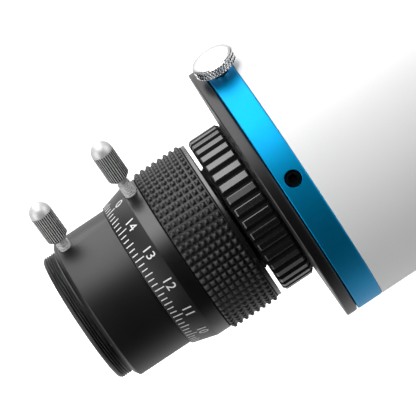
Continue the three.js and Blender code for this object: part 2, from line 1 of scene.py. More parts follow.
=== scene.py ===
# %% [markdown]
# # A guide telescope with a turning, numbered focuser
# The object is a short white telescope. From the back it has a threaded draw tube, a focus ring
# with a numbered cone and a knurled grip, a ribbed lock ring, a black flange, a blue collar with a
# lock knob, the white tube on its foot, the lens cell and a dew shield.
# A CAD model already fixes where every part is and how it moves. This lesson puts finely turned
# parts and real finishes over it, so the first cell loads that model.

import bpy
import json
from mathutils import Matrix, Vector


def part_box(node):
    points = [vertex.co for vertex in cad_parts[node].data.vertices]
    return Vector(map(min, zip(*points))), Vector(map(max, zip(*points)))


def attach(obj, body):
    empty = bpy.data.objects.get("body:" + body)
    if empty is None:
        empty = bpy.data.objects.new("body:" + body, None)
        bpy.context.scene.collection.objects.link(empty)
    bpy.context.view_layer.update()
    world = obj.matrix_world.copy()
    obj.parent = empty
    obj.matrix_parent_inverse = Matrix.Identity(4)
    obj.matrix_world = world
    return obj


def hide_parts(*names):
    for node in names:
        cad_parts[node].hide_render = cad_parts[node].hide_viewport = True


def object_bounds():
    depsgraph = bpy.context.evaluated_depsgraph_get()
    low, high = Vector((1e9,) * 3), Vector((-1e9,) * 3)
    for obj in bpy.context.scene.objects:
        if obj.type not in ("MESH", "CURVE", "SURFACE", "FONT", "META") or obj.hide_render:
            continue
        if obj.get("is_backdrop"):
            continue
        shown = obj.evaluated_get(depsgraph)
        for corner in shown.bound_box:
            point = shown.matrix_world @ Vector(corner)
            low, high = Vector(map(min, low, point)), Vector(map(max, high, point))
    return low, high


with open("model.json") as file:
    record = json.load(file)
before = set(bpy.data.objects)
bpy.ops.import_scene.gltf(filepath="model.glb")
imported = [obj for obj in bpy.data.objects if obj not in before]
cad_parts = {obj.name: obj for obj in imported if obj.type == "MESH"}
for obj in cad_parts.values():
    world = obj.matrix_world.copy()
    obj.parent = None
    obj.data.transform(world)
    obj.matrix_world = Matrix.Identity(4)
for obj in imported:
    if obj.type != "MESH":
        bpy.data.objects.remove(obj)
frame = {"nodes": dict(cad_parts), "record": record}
cad_low, cad_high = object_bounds()

# %% [markdown]
# ## Working in millimetres
# Blender measures in metres, but a maker thinks in millimetres. Every outline below is written in
# millimetres and scaled once, when its mesh is made. Places come from the CAD parts' own boxes, so
# nothing has to be lined up by eye.

# %% Units and measuring
import json
import math

import bmesh
import bpy
import numpy as np
from mathutils import Matrix, Vector

MM = 0.001
FULL_TURN = 2 * math.pi
scene = bpy.context.scene
axis_height = sum(corner.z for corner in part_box("main_tube")) / 2 / MM


def span(node):
    """Rear end, front end and outer radius of a part turned about the optical axis."""
    low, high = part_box(node)
    return low.x / MM, high.x / MM, (high.z - low.z) / 2 / MM


def height_span(node):
    """Lowest and highest point of a part, measured from the optical axis."""
    low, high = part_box(node)
    return low.z / MM - axis_height, high.z / MM - axis_height


print("optical axis", round(axis_height, 2), "mm above the floor")

# %% [markdown]
# ## A lathe in a few lines
# Almost every part of a telescope is turned: a closed outline is spun about a line. A Screw
# modifier could do that, but threads, ribs and knurling need the radius to change with the angle
# too. So the points are laid out on a grid of outline steps and angles, and an optional cutting
# function changes the radius before the grid becomes a mesh.
# A Spindle is the line that a part is turned about. Angle 0 of the optical spindle is at the top,
# and angles grow towards the near side.

# %% The spindle
class Spindle:
    def __init__(self, start, along, zero):
        self.start = np.array(start, float)
        self.along = np.array(along, float)
        self.zero = np.array(zero, float)
        self.side = np.cross(self.along, self.zero)

    def points(self, place, radius, angle):
        place, radius, angle = np.broadcast_arrays(place, radius, angle)
        return (
            self.start
            + place[..., None] * self.along
            + (radius * np.cos(angle))[..., None] * self.zero
            + (radius * np.sin(angle))[..., None] * self.side
        )


optical = Spindle((0, 0, axis_height), (1, 0, 0), (0, 0, 1))


def radial(x, angle=0):
    """A spindle that stands out of the optical axis at x, turned from the top to the near side."""
    turn = math.radians(angle)
    return Spindle((x, 0, axis_height), (0, -math.sin(turn), math.cos(turn)), (1, 0, 0))


# %% [markdown]
# ## Eased edges
# A machinist breaks every edge, and that tiny rounding is what catches the light. Each corner of
# an outline may carry a third number, the easing, which replaces the corner by a short curve.

# %% Outlines with eased corners
def eased(corners, steps=3):
    points = []
    for i, corner in enumerate(corners):
        here = np.array(corner[:2], float)
        to_last = np.array(corners[i - 1][:2], float) - here
        to_next = np.array(corners[(i + 1) % len(corners)][:2], float) - here
        reach = [np.linalg.norm(to_last), np.linalg.norm(to_next)]
        cut = min(corner[2] if len(corner) > 2 else 0, 0.45 * reach[0], 0.45 * reach[1])
        if cut <= 0:
            points.append(here)
            continue
        start = here + to_last / reach[0] * cut
        end = here + to_next / reach[1] * cut
        for t in np.linspace(0, 1, steps + 1):
            points.append((1 - t) ** 2 * start + 2 * t * (1 - t) * here + t * t * end)
    return np.array(points)


def run(start, stop, radius, count):
    """A straight stretch of an outline with enough points on it for a thread or a knurl."""
    return [(x, radius) for x in np.linspace(start, stop, count)]


# %% Turn a closed outline into a mesh
def piece(name, points, faces, crease=32):
    """A mesh object from points in millimetres, smooth except at edges sharper than the crease."""
    mesh = bpy.data.meshes.new(name)
    mesh.from_pydata((np.array(points) * MM).tolist(), [], faces)
    shell = bmesh.new()
    shell.from_mesh(mesh)
    loose = [v for v in shell.verts if not v.link_faces]
    bmesh.ops.delete(shell, geom=loose, context="VERTS")
    bmesh.ops.recalc_face_normals(shell, faces=shell.faces)
    shell.to_mesh(mesh)
    shell.free()
    mesh.shade_smooth()
    mesh.set_sharp_from_angle(angle=math.radians(crease))
    item = bpy.data.objects.new(name, mesh)
    scene.collection.objects.link(item)
    return item


def turned(name, spindle, outline, steps=192, shape=None, angles=None, crease=32):
    """Spins an outline. One that starts and ends on the axis is solid, any other has a bore."""
    outline = np.array(outline, float)
    if angles is None:
        angles = np.linspace(0, FULL_TURN, steps, endpoint=False)
    around, count = len(angles), len(outline)
    place = np.repeat(outline[:, :1], around, 1)
    radius = np.repeat(outline[:, 1:2], around, 1)
    if shape:
        radius = shape(place, radius, np.array(angles)[None, :])
    points = spindle.points(place, radius, np.array(angles)[None, :]).reshape(-1, 3)
    on_axis = outline[:, 1] < 1e-6
    solid = on_axis[0] and on_axis[-1]

    def corner(i, j):
        return i * around + (0 if on_axis[i] else j % around)

    faces = []
    for i in range(count - 1 if solid else count):
        k = (i + 1) % count
        for j in range(around):
            ring = (corner(i, j), corner(i, j + 1), corner(k, j + 1), corner(k, j))
            face = tuple(dict.fromkeys(ring))
            if len(face) > 2:
                faces.append(face)
    return piece(name, points, faces, crease)


print("lathe ready")

# %% [markdown]
# ## Drilling
# Holes are cut with an exact boolean: a cutter is turned on its own spindle, taken away from the
# part, and the result is kept as the part's mesh, so that no modifier is left to work out later.

# %% Drill a hole through a part
def rod(spindle, start, stop, radius, steps=48):
    outline = [(start, 0), (start, radius), (stop, radius), (stop, 0)]
    return turned("cutter", spindle, outline, steps)


def box_cutter(spindle, heights, lengths, half_width):
    """A square-cornered cutter that stands on a spindle."""
    (rear, front), half = lengths, half_width
    corners = [
        spindle.start + spindle.along * height + spindle.zero * x + spindle.side * y
        for height in heights
        for x, y in ((rear, -half), (front, -half), (front, half), (rear, half))
    ]
    sides = [(0, 1, 2, 3), (4, 5, 6, 7), (0, 1, 5, 4), (1, 2, 6, 5), (2, 3, 7, 6), (3, 0, 4, 7)]
    return piece("cutter", corners, sides)


def bake(item, crease):
    """Keeps the result of an item's modifiers as its mesh."""
    graph = bpy.context.evaluated_depsgraph_get()
    mesh = bpy.data.meshes.new_from_object(item.evaluated_get(graph))
    item.modifiers.clear()
    item.data = mesh
    mesh.shade_smooth()
    mesh.set_sharp_from_angle(angle=math.radians(crease))
    return item


def cut_away(item, cutters, crease=32):
    for cutter in cutters:
        change = item.modifiers.new("cut", "BOOLEAN")
        change.operation = "DIFFERENCE"
        change.solver = "EXACT"
        change.object = cutter
    bake(item, crease)
    for cutter in cutters:
        bpy.data.objects.remove(cutter)
    return item


# %% [markdown]
# ## Fitting a piece to the frame
# A finished piece takes the place of its CAD part: it gets its finish, rides on the body that the
# part belongs to, and hides the CAD part.

# %% Fit a finished piece
body_of = {
    node: body for body, nodes in frame["record"]["behaviour"]["bodies"].items() for node in nodes
}


def fit(item, node, slot, *finishes):
    for finish in finishes:
        item.data.materials.append(finish)
    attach(item, body_of[node])
    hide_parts(node)
    low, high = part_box(node)
    size = [round((b - a) / MM, 1) for a, b in zip(low, high)]
    print(f"{item.name}: {len(item.data.polygons)} faces, {size} mm, rides on {body_of[node]}")
    return item


def finish_where(item, finish, test):
    """Gives a finish, by its number, to every face whose place and radius pass the test."""
    for face in item.data.polygons:
        y, z = face.center.y / MM, face.center.z / MM - axis_height
        if test(face.center.x / MM, math.hypot(y, z)):
            face.material_index = finish


# %% [markdown]
# ## The camera
# The telescope is seen from its near side and from above, through a long lens that keeps the
# tubes nearly parallel. The camera is rolled, so that the tube climbs to the right. The roll is
# built from three directions: where the camera looks, and the picture's right and up.

# %% Place the camera
LOOK_DOWN = math.radians(30)
TUBE_CLIMB = math.radians(33.65)
CAMERA_DISTANCE = 680
LENS_LENGTH = 199.7
SENSOR_WIDTH = 36
STAND_BEHIND = 7
AIM_BEHIND = 16.7
AIM_ABOVE = 6.7
FLANGE_TO_COLLAR = 3.86

flange_seat = span("rear_collar")[0] - FLANGE_TO_COLLAR
stand = np.array([flange_seat - STAND_BEHIND, 0, axis_height])
away = np.array([0, -math.cos(LOOK_DOWN), math.sin(LOOK_DOWN)])
above = np.array([0, math.sin(LOOK_DOWN), math.cos(LOOK_DOWN)])
eye = stand + CAMERA_DISTANCE * away
aim = np.array([flange_seat - AIM_BEHIND, 0, axis_height]) + AIM_ABOVE * above

looking = (aim - eye) / np.linalg.norm(aim - eye)
along_tube = np.array([1.0, 0, 0]) - looking[0] * looking
along_tube /= np.linalg.norm(along_tube)
across_tube = np.cross(-looking, along_tube)
right = math.cos(TUBE_CLIMB) * along_tube - math.sin(TUBE_CLIMB) * across_tube
up = math.sin(TUBE_CLIMB) * along_tube + math.cos(TUBE_CLIMB) * across_tube

camera = bpy.data.objects.new("camera", bpy.data.cameras.new("camera"))
camera.data.lens = LENS_LENGTH
camera.data.sensor_width = SENSOR_WIDTH
camera.data.clip_start, camera.data.clip_end = 0.05, 20
turn = Matrix((right, up, -looking)).transposed()
camera.matrix_world = Matrix.Translation(Vector(eye * MM)) @ turn.to_4x4()
scene.collection.objects.link(camera)
scene.camera = camera
print("camera stands", CAMERA_DISTANCE, "mm away, looking down 30 degrees")

# %% [markdown]
# ## The studio
# The light is a soft surround, painted as a brightness for every direction. A wide bright band
# hangs overhead, a black screen stands on the near side, and pale paper lies behind and below.
# Black metal shows the screen as its dark waist and the paper as a lighter lower edge. Lamps
# could give this too, but a painted surround has no lamp edges to show as stripes.
# Each table runs with the angle about the telescope's own axis, counted from straight up towards
# the near side. The first is used broadside to the telescope. The other two take over, one after
# the other, towards its ends, where the overhead band stops and pale cards stand low down.

# %% Paint the surround
SKY_STRENGTH = 4.5
BROADSIDE = [
    (-180, 0.50), (-165, 0.81), (-150, 0.66), (-135, 0.68), (-120, 0.98), (-105, 1.00),
    (-90, 0.92), (-75, 1.00), (-60, 1.71), (-45, 3.10), (-30, 3.34), (-15, 3.85), (0, 3.60),
    (15, 4.40), (30, 1.93), (45, 0.07), (60, 0.015), (135, 0.01), (150, 0.06), (165, 0.42),
    (180, 0.50),
]
SLANTING = [
    (-180, 1.1), (-150, 1.15), (-120, 1.0), (-90, 0.95), (-60, 0.3), (-30, 0.02), (120, 0.01),
    (150, 0.03), (180, 1.1),
]
ENDWISE = [(-180, 0.4), (-120, 0.6), (-60, 0.02), (0, 1.6), (60, 2.8), (120, 1.6), (180, 0.4)]
TAKES_OVER = [(SLANTING, 0.25, 0.45), (ENDWISE, 0.55, 0.80)]


def linked(tree, made, inputs):
    """Fills a node's sockets: a value is set, and another node's output is linked."""
    for name, value in inputs.items():
        socket = made.inputs[name]
        if isinstance(value, bpy.types.NodeSocket):
            tree.links.new(value, socket)
        else:
            socket.default_value = value
    return made


def add(tree, kind, inputs=None, **settings):
    """Adds a shader node, sets its options and fills its sockets."""
    made = tree.nodes.new("ShaderNode" + kind)
    for name, value in settings.items():
        setattr(made, name, value)
    return linked(tree, made, inputs or {})


def ramp(tree, value, stops, smooth="LINEAR"):
    """A colour ramp. Each stop is (place, grey) or (place, (red, green, blue))."""
    made = add(tree, "ValToRGB", {"Fac": value})
    made.color_ramp.interpolation = smooth
    while len(made.color_ramp.elements) < len(stops):
        made.color_ramp.elements.new(1)
    for element, (place, colour) in zip(made.color_ramp.elements, stops):
        element.position = place
        shades = colour if isinstance(colour, tuple) else (colour,) * 3
        element.color = (*shades, 1)
    return made.outputs["Color"]


world = bpy.data.worlds.new("studio")
world.use_nodes = True
scene.world = world
sky = world.node_tree
direction = add(sky, "SeparateXYZ", {0: add(sky, "TexCoord").outputs["Generated"]})
near = add(sky, "Math", {0: direction.outputs["Y"], 1: -1.0}, operation="MULTIPLY")
swing = add(
    sky, "Math", {0: near.outputs[0], 1: direction.outputs["Z"]}, operation="ARCTAN2"
)
share = add(
    sky, "MapRange", {"Value": swing.outputs[0], "From Min": -math.pi, "From Max": math.pi}
)
endwise = add(sky, "Math", {0: direction.outputs["X"]}, operation="ABSOLUTE")


def tones(table):
    stops = [(0.5 + angle / 360, shine / SKY_STRENGTH) for angle, shine in table]
    return ramp(sky, share.outputs[0], stops)


glow = tones(BROADSIDE)
for table, start, full in TAKES_OVER:
    inputs = {"Value": endwise.outputs[0], "From Min": start, "From Max": full}
    takes_over = add(sky, "MapRange", inputs)
    inputs = {"Factor": takes_over.outputs[0], "A": glow, "B": tones(table)}
    glow = add(sky, "Mix", inputs, data_type="RGBA").outputs["Result"]
linked(sky, sky.nodes["Background"], {"Color": glow, "Strength": SKY_STRENGTH})
scene.view_settings.view_transform = "Standard"
print("surround painted with", len(BROADSIDE + SLANTING + ENDWISE), "tones")

# %% [markdown]
# ## Finishes
# Each finish is one Principled shader with a few procedural textures. They all read the object's
# own coordinates, in metres, so grain has a real size and moves with its part. A helper makes the
# noise; another turns it into a small bump.

# %% Shared texture helpers
def new_finish(name):
    made = bpy.data.materials.new(name)
    made.use_nodes = True
    return made, made.node_tree, made.node_tree.nodes["Principled BSDF"]


def grain(tree, size, detail=2.0, stretch=(1, 1, 1)):
    """Noise whose features are about size millimetres across, before the stretch."""
    place = add(tree, "TexCoord").outputs["Object"]
    scaled = add(tree, "Mapping", {"Vector": place, "Scale": stretch})
    made = add(
        tree,
        "TexNoise",
        {"Vector": scaled.outputs[0], "Scale": 1 / (size * MM), "Detail": detail},
    )
    return made.outputs["Fac"]


def bump(tree, height, depth, strength=1.0, below=None):
    """A bump of the given depth in millimetres, on top of another bump if there is one."""
    inputs = {"Height": height, "Distance": depth * MM, "Strength": strength}
    if below:
        inputs["Normal"] = below
    return add(tree, "Bump", inputs).outputs["Normal"]


def between(tree, value, low, high):
    """Stretches a noise value over a range."""
    inputs = {"Value": value, "From Min": 0.3, "From Max": 0.7, "To Min": low, "To Max": high}
    return add(tree, "MapRange", inputs).outputs[0]


def edge_light(tree):
    """Near 1 on sharp outer edges and near 0 elsewhere: there the colour is lightened, partly as
    wear and partly as a painted edge highlight.
    """
    wear_and_glint_edge = add(tree, "NewGeometry").outputs["Pointiness"]
    inputs = {"Value": wear_and_glint_edge, "From Min": 0.52, "From Max": 0.60, "To Min": 0.0, "To Max": 1.0}
    return add(tree, "MapRange", inputs).outputs[0]


def one_grain(name, size, detail, tones, gloss, depth, strength, stretch=(1, 1, 1), **more):
    """A finish whose colour, gloss and relief all follow the same grain."""
    made, tree, shader = new_finish(name)
    texture = grain(tree, size, detail, stretch)
    inputs = {
        "Base Color": ramp(tree, texture, tones),
        "Roughness": between(tree, texture, *gloss),
        "Normal": bump(tree, texture, depth, strength),
    }
    inputs.update({socket.replace("_", " "): value for socket, value in more.items()})
    linked(tree, shader, inputs)
    return made


# %% [markdown]
# ## Anodised aluminium
# The focuser is aluminium, blasted with fine glass beads and dyed black. Black dye swallows
# nearly everything, so what is seen is the clear oxide's soft reflection. The blue collar is dyed
# too, but its colour comes from metal under a tinted film, so it is built as a tinted metal with
# a thin clear coat. Both get the bead-blast grain as a bump, and slightly uneven gloss.

# %% Black and blue anodising
def black_anodised(
    name="black_anodised", gloss=(0.39, 0.45), index=1.56, turned_marks=0.0, blast_depth=0.010
):
    made, tree, shader = new_finish(name)
    blast = grain(tree, 0.16, 2)
    cloud = grain(tree, 9, 3)
    shade = ramp(tree, cloud, [(0.3, 0.0015), (0.7, 0.003)])
    # Outer edges are lighter: partly wear, partly a painted edge highlight.
    wear_and_painted_glint = add(
        tree,
        "Mix",
        {"Factor": edge_light(tree), "A": shade, "B": (0.06, 0.06, 0.062, 1)},
        data_type="RGBA",
    )
    normal = bump(tree, blast, blast_depth, 0.35)
    if turned_marks:
        rings = grain(tree, 0.35, 1, (1, 0.02, 0.02))
        normal = bump(tree, rings, turned_marks, 0.5, normal)
    linked(
        tree,
        shader,
        {
            "Base Color": wear_and_painted_glint.outputs["Result"],
            "Roughness": between(tree, grain(tree, 0.5, 3), *gloss),
            "IOR": index,
            "Normal": normal,
        },
    )
    return made


def blue_anodised():
    made, tree, shader = new_finish("blue_anodised")
    blast = grain(tree, 0.2, 3)
    cloud = grain(tree, 6, 3)
    dye = ramp(tree, cloud, [(0.3, (0.0002, 0.305, 0.60)), (0.7, (0.0006, 0.335, 0.66))])
    linked(
        tree,
        shader,
        {
            "Base Color": dye,
            "Metallic": 1.0,
            "Roughness": between(tree, blast, 0.46, 0.54),
            "Coat Weight": 0.1,
            "Coat Roughness": 0.35,
            "Normal": bump(tree, blast, 0.012, 0.35),
        },
    )
    return made


BLACK = black_anodised()
BLACK_TURNED = black_anodised("black_anodised_turned", (0.34, 0.40), 1.54, turned_marks=0.006)
BLACK_SMOOTH = black_anodised("black_anodised_smooth", (0.28, 0.35), 1.68)
BLACK_BRIGHT = black_anodised("black_anodised_bright", (0.24, 0.30), 1.90, blast_depth=0.004)
BLUE = blue_anodised()
print("anodised finishes made")

# %% [markdown]
# ## Paint
# The tube is sprayed white. Sprayed paint levels out into very shallow waves, a millimetre or so
# across, which painters call orange peel. Inside, tubes are painted a dead black, so that stray
# light isn't thrown towards the eyepiece; its surface is coarse and nearly without gloss.

# %% White paint, dead black paint and white ink
def white_paint():
    made, tree, shader = new_finish("white_paint")
    peel = grain(tree, 1.1, 2)
    tone = ramp(tree, grain(tree, 40, 2), [(0.3, (0.86, 0.865, 0.87)), (0.7, (0.89, 0.89, 0.89))])
    linked(
        tree,
        shader,
        {
            "Base Color": tone,
            "Roughness": between(tree, grain(tree, 2.5, 2), 0.36, 0.42),
            "Normal": bump(tree, peel, 0.02, 0.25),
        },
    )
    return made


WHITE = white_paint()
MATT = one_grain(
    "dead_black", 0.25, 4, [(0.3, 0.004), (0.7, 0.012)], (0.8, 0.95), 0.05, 0.6,
    Specular_IOR_Level=0.2,
)
INK = one_grain("white_ink", 0.12, 3, [(0.25, 0.62), (0.55, 0.86)], (0.45, 0.6), 0.01, 0.4)
print("paints made")

# %% [markdown]
# ## Bare metals
# The knob is bright nickel plate over steel, the thumb screws have a softer satin plate, the small
# screws are blackened steel, and the clamping ring and pad are brass. Metals differ mostly in
# colour and in how evenly they shine, so one helper makes them all: fine scratches break up the
# gloss a little. Satin plate scatters some light as paint does, so it is only half metallic.

# %% Steel and brass
def bare_metal(name, dark, bright, gloss, metal=1.0):
    made, tree, shader = new_finish(name)
    smear = grain(tree, 0.8, 3)
    scratch = grain(tree, 0.12, 2, (1, 0.25, 0.25))
    linked(
        tree,
        shader,
        {
            "Base Color": ramp(tree, smear, [(0.3, dark), (0.7, bright)]),
            "Metallic": metal,
            "Roughness": between(tree, scratch, *gloss),
            "Normal": bump(tree, scratch, 0.004, 0.25),
        },
    )
    return made


PLATED = bare_metal("polished_steel", (0.66, 0.66, 0.66), (0.78, 0.78, 0.775), (0.14, 0.22))
SATIN = bare_metal("satin_steel", (0.64, 0.64, 0.64), (0.74, 0.74, 0.735), (0.42, 0.50), 0.5)
DARK_STEEL = bare_metal("dark_steel", (0.012, 0.012, 0.013), (0.022, 0.022, 0.023), (0.34, 0.5))
BRASS = bare_metal("brass", (0.52, 0.34, 0.12), (0.62, 0.43, 0.17), (0.25, 0.4))
print("metals made")

# %% [markdown]
# ## Plastic, felt and glass
# Slip washers and screw tips are black nylon. The dew shield slides on a felt liner. The two
# lenses are clear glass with a thin anti-reflection film, which is what gives a coated lens its
# faint coloured glint, and a breath of dust.

# %% Nylon, felt and glass
def lens_glass():
    made, tree, shader = new_finish("lens_glass")
    dust = grain(tree, 0.6, 5)
    linked(
        tree,
        shader,
        {
            "Base Color": ramp(tree, dust, [(0.3, (0.965, 0.99, 0.975)), (0.7, (0.98, 1, 0.99))]),
            "Transmission Weight": 1.0,
            "Roughness": between(tree, dust, 0.0, 0.012),
            "IOR": 1.52,
            "Thin Film Thickness": 520.0,
            "Thin Film IOR": 1.38,
        },
    )
    return made


NYLON = one_grain("nylon", 0.4, 3, [(0.3, 0.012), (0.7, 0.02)], (0.5, 0.65), 0.01, 0.4)
FELT = one_grain(
    "felt", 0.3, 5, [(0.3, 0.006), (0.7, 0.022)], (0.85, 0.97), 0.12, 0.8,
    stretch=(1, 0.4, 0.4), Sheen_Weight=0.3,
)
GLASS = lens_glass()
print("materials in all:", len(bpy.data.materials))

# %% [markdown]
# ## The draw tube
# The draw tube is the part that slides in and out. Its rear end carries a fine male thread for a
# camera, then a shoulder to seat against and a smooth barrel. The thread is cut by the lathe's
# cutting function: the radius dips in a V that climbs one pitch for each turn.

# %% A thread-cutting function
def thread(crest, pitch, depth, start, stop):
    def shape(place, radius, angle):
        wave = np.abs(2 * ((place / pitch - angle / FULL_TURN) % 1) - 1)
        groove = depth * np.clip(1.3 * wave - 0.15, 0, 1)
        lead_in = np.clip((place - start) / pitch, 0, 1) * np.clip((stop - place) / pitch, 0, 1)
        on_crest = (np.abs(radius - crest) < 0.01) & (place > start) & (place < stop)
        return np.where(on_crest, radius - groove * lead_in, radius)

    return shape


# %% Turn the draw tube
SOCKET_RADIUS = 15.9
THREAD_RADIUS = 21.0
THREAD_PITCH = 0.75
THREAD_LENGTH = 4.6
THREAD_CHAMFER = 0.7
THREAD_DEPTH = 0.42
UNDERCUT_RADIUS = THREAD_RADIUS - 0.4
SHOULDER_WIDTH = 1.0
HELICOID_RADIUS = 21.8
BARREL_LENGTH = 17.5
NECK_CLEARANCE_RADIUS = 17.6
SCREW_HOLE_RADIUS = 2.15
PIN_SLOT_HALF_WIDTH = 1.45
PIN_SLOT_BEHIND_PIN = 3.4
PIN_SLOT_RADIUS = 19.85
FIT_GAP = 0.05
PIN_ANGLES = (90, 210, 330)

tube_rear, tube_inner_end, barrel_radius = span("draw_tube")
shoulder = tube_rear + THREAD_LENGTH
barrel_rear = shoulder + SHOULDER_WIDTH
barrel_front = barrel_rear + BARREL_LENGTH
neck_rear = span("neck_tube")[0]
clamp_rear, clamp_front, clamp_radius = span("eyepiece_clamp_ring")
clamp_x = (clamp_rear + clamp_front) / 2

draw_outline = [
    *eased(
        [
            (tube_rear, SOCKET_RADIUS, 0.5),
            (tube_rear, THREAD_RADIUS - THREAD_CHAMFER, 0.1),
            (tube_rear + THREAD_CHAMFER, THREAD_RADIUS),
        ]
    ),
    *run(tube_rear + 0.75, shoulder - 0.85, THREAD_RADIUS, 38),
    *eased(
        [
            (shoulder - 0.8, UNDERCUT_RADIUS),
            (shoulder - 0.35, UNDERCUT_RADIUS, 0.15),
            (shoulder, THREAD_RADIUS + 0.05),
            (shoulder, THREAD_RADIUS + 0.8, 0.12),
            (barrel_rear, barrel_radius, 0.2),
            (barrel_front, barrel_radius, 0.2),
            (barrel_front, HELICOID_RADIUS),
            (tube_inner_end, HELICOID_RADIUS, 0.2),
            (tube_inner_end, NECK_CLEARANCE_RADIUS, 0.2),
            (neck_rear - 0.5, NECK_CLEARANCE_RADIUS),
            (neck_rear - 0.5, SOCKET_RADIUS, 0.3),
            (clamp_front + FIT_GAP, SOCKET_RADIUS),
            (clamp_front + FIT_GAP, clamp_radius + FIT_GAP),
            (clamp_rear - FIT_GAP, clamp_radius + FIT_GAP),
            (clamp_rear - FIT_GAP, SOCKET_RADIUS),
        ]
    ),
]
camera_thread = thread(
    THREAD_RADIUS, THREAD_PITCH, THREAD_DEPTH, tube_rear + 0.4, shoulder - 0.6
)
draw_tube = turned("draw_tube_finished", optical, draw_outline, 240, camera_thread)

pin_places = [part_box(f"guide_pin_{i}") for i in (1, 2, 3)]
pin_x = sum(corner.x for corner in pin_places[0]) / 2 / MM
slot_heights = NECK_CLEARANCE_RADIUS - 2, PIN_SLOT_RADIUS
slot_lengths = -PIN_SLOT_BEHIND_PIN, tube_inner_end - pin_x + 1
slots = [
    box_cutter(radial(pin_x, angle), slot_heights, slot_lengths, PIN_SLOT_HALF_WIDTH)
    for angle in PIN_ANGLES
]
hole = rod(radial(clamp_x), SOCKET_RADIUS - 1, barrel_radius + 1, SCREW_HOLE_RADIUS)
fit(cut_away(draw_tube, [*slots, hole]), "draw_tube", "black_anodised", BLACK)

# %% [markdown]
# ## The scale thimble
# The focus ring's rear part is a cone with a numbered scale. In front of it is a plain band with
# the hole for the focus lock screw. The edge between the cone and the band is crisp, and a narrow
# slit separates the band from the knurled grip.

# %% Turn the thimble
BAND_LENGTH = 4.5
CONE_LENGTH = 7.8
CONE_SMALL_RADIUS = 23.8
BAND_RADIUS = 26.0
THIMBLE_BORE = 22.0
RECESS_RADIUS = 24.2
GRIP_SEAT_RADIUS = 25.25

thimble_rear, thimble_front, _ = span("scale_thimble")
band_rear = thimble_rear + CONE_LENGTH
band_front = band_rear + BAND_LENGTH
recess_floor = tube_inner_end + 0.2
thimble_outline = eased(
    [
        (thimble_rear, THIMBLE_BORE, 0.2),
        (thimble_rear, CONE_SMALL_RADIUS, 0.22),
        (band_rear, BAND_RADIUS, 0.15),
        (band_front, BAND_RADIUS, 0.2),
        (band_front, GRIP_SEAT_RADIUS),
        (thimble_front, GRIP_SEAT_RADIUS, 0.2),
        (thimble_front, RECESS_RADIUS),
        (recess_floor, RECESS_RADIUS),
        (recess_floor, THIMBLE_BORE),
    ]
)
thimble = turned("scale_thimble_finished", optical, thimble_outline, 240)
focus_lock_x = sum(c.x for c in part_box("focus_lock_screw")) / 2 / MM
hole = rod(radial(focus_lock_x), HELICOID_RADIUS - 0.5, BAND_RADIUS + 1, SCREW_HOLE_RADIUS)
fit(cut_away(thimble, [hole]), "scale_thimble", "black_anodised", BLACK_SMOOTH, MATT, BLACK_TURNED)
finish_where(thimble, 2, lambda x, radius: x < band_rear)
# From the band's front face forwards, in the slit by the grip, the faces get the dead black paint
# as painted shade.
finish_where(thimble, 1, lambda x, radius: x > band_front - 0.03)

# %% [markdown]
# ## The scale
# Fifteen numbers go once round the cone, one for each millimetre that a full turn moves the draw
# tube. Between two numbers there are six marks: long at the number, middling halfway, and short
# between. The marks are engraved and filled with white ink.
# Blender's own font gives the numbers. A text object is turned into a mesh, sliced into narrow
# strips so that it can bend, and wrapped round the cone: its right becomes the angle, its up runs
# along the cone, and its thickness stands out of the surface.

# %% Wrap flat shapes round the cone
INK_PROUD = 0.035
INK_SUNK = 0.12
TICK_WIDTH = 0.32
TICK_START = 0.45
TICK_EASE = 0.1
LONG, MIDDLE, SHORT = 3.2, 2.7, 2.1
NUMBER_HEIGHT = 3.0
NUMBER_GAP = 0.8
CAPITAL_SHARE = 0.73
TRUE_WIDTH_PLACE = 3.75
SLICE = 0.25

slope = math.atan2(BAND_RADIUS - CONE_SMALL_RADIUS, CONE_LENGTH)


def wrap(shell, turn):
    """Bends a flat shape round the cone; turn is the angle from the top to its middle."""
    middle = CONE_SMALL_RADIUS + TRUE_WIDTH_PLACE * math.sin(slope)
    for v in shell.verts:
        across, along, out = v.co
        place = thimble_rear + along * math.cos(slope) - out * math.sin(slope)
        radius = CONE_SMALL_RADIUS + along * math.sin(slope) + out * math.cos(slope)
        angle = turn + across / middle
        v.co = optical.points(np.array(place), np.array(radius), np.array(angle))


def slice_up(shell, width):
    """Cuts a shape into strips, so that it bends smoothly."""
    reach = max(abs(v.co.x) for v in shell.verts)
    for x in np.arange(-reach + SLICE, reach, width):
        geometry = [*shell.verts, *shell.edges, *shell.faces]
        bmesh.ops.bisect_plane(shell, geom=geometry, plane_co=(x, 0, 0), plane_no=(1, 0, 0))


def tick(length):
    """A mark with eased ends, from the cone's small end forwards."""
    half, start, stop, ease = TICK_WIDTH / 2, TICK_START, TICK_START + length, TICK_EASE
    outline = [
        (-half, start + ease), (-half + ease, start), (half - ease, start), (half, start + ease),
        (half, stop - ease), (half - ease, stop), (-half + ease, stop), (-half, stop - ease),
    ]
    shell = bmesh.new()
    rings = [[shell.verts.new((x, y, z)) for x, y in outline] for z in (-INK_SUNK, INK_PROUD)]
    shell.faces.new(rings[0][::-1])
    shell.faces.new(rings[1])
    for i in range(len(outline)):
        k = (i + 1) % len(outline)
        shell.faces.new((rings[0][i], rings[0][k], rings[1][k], rings[1][i]))
    return shell


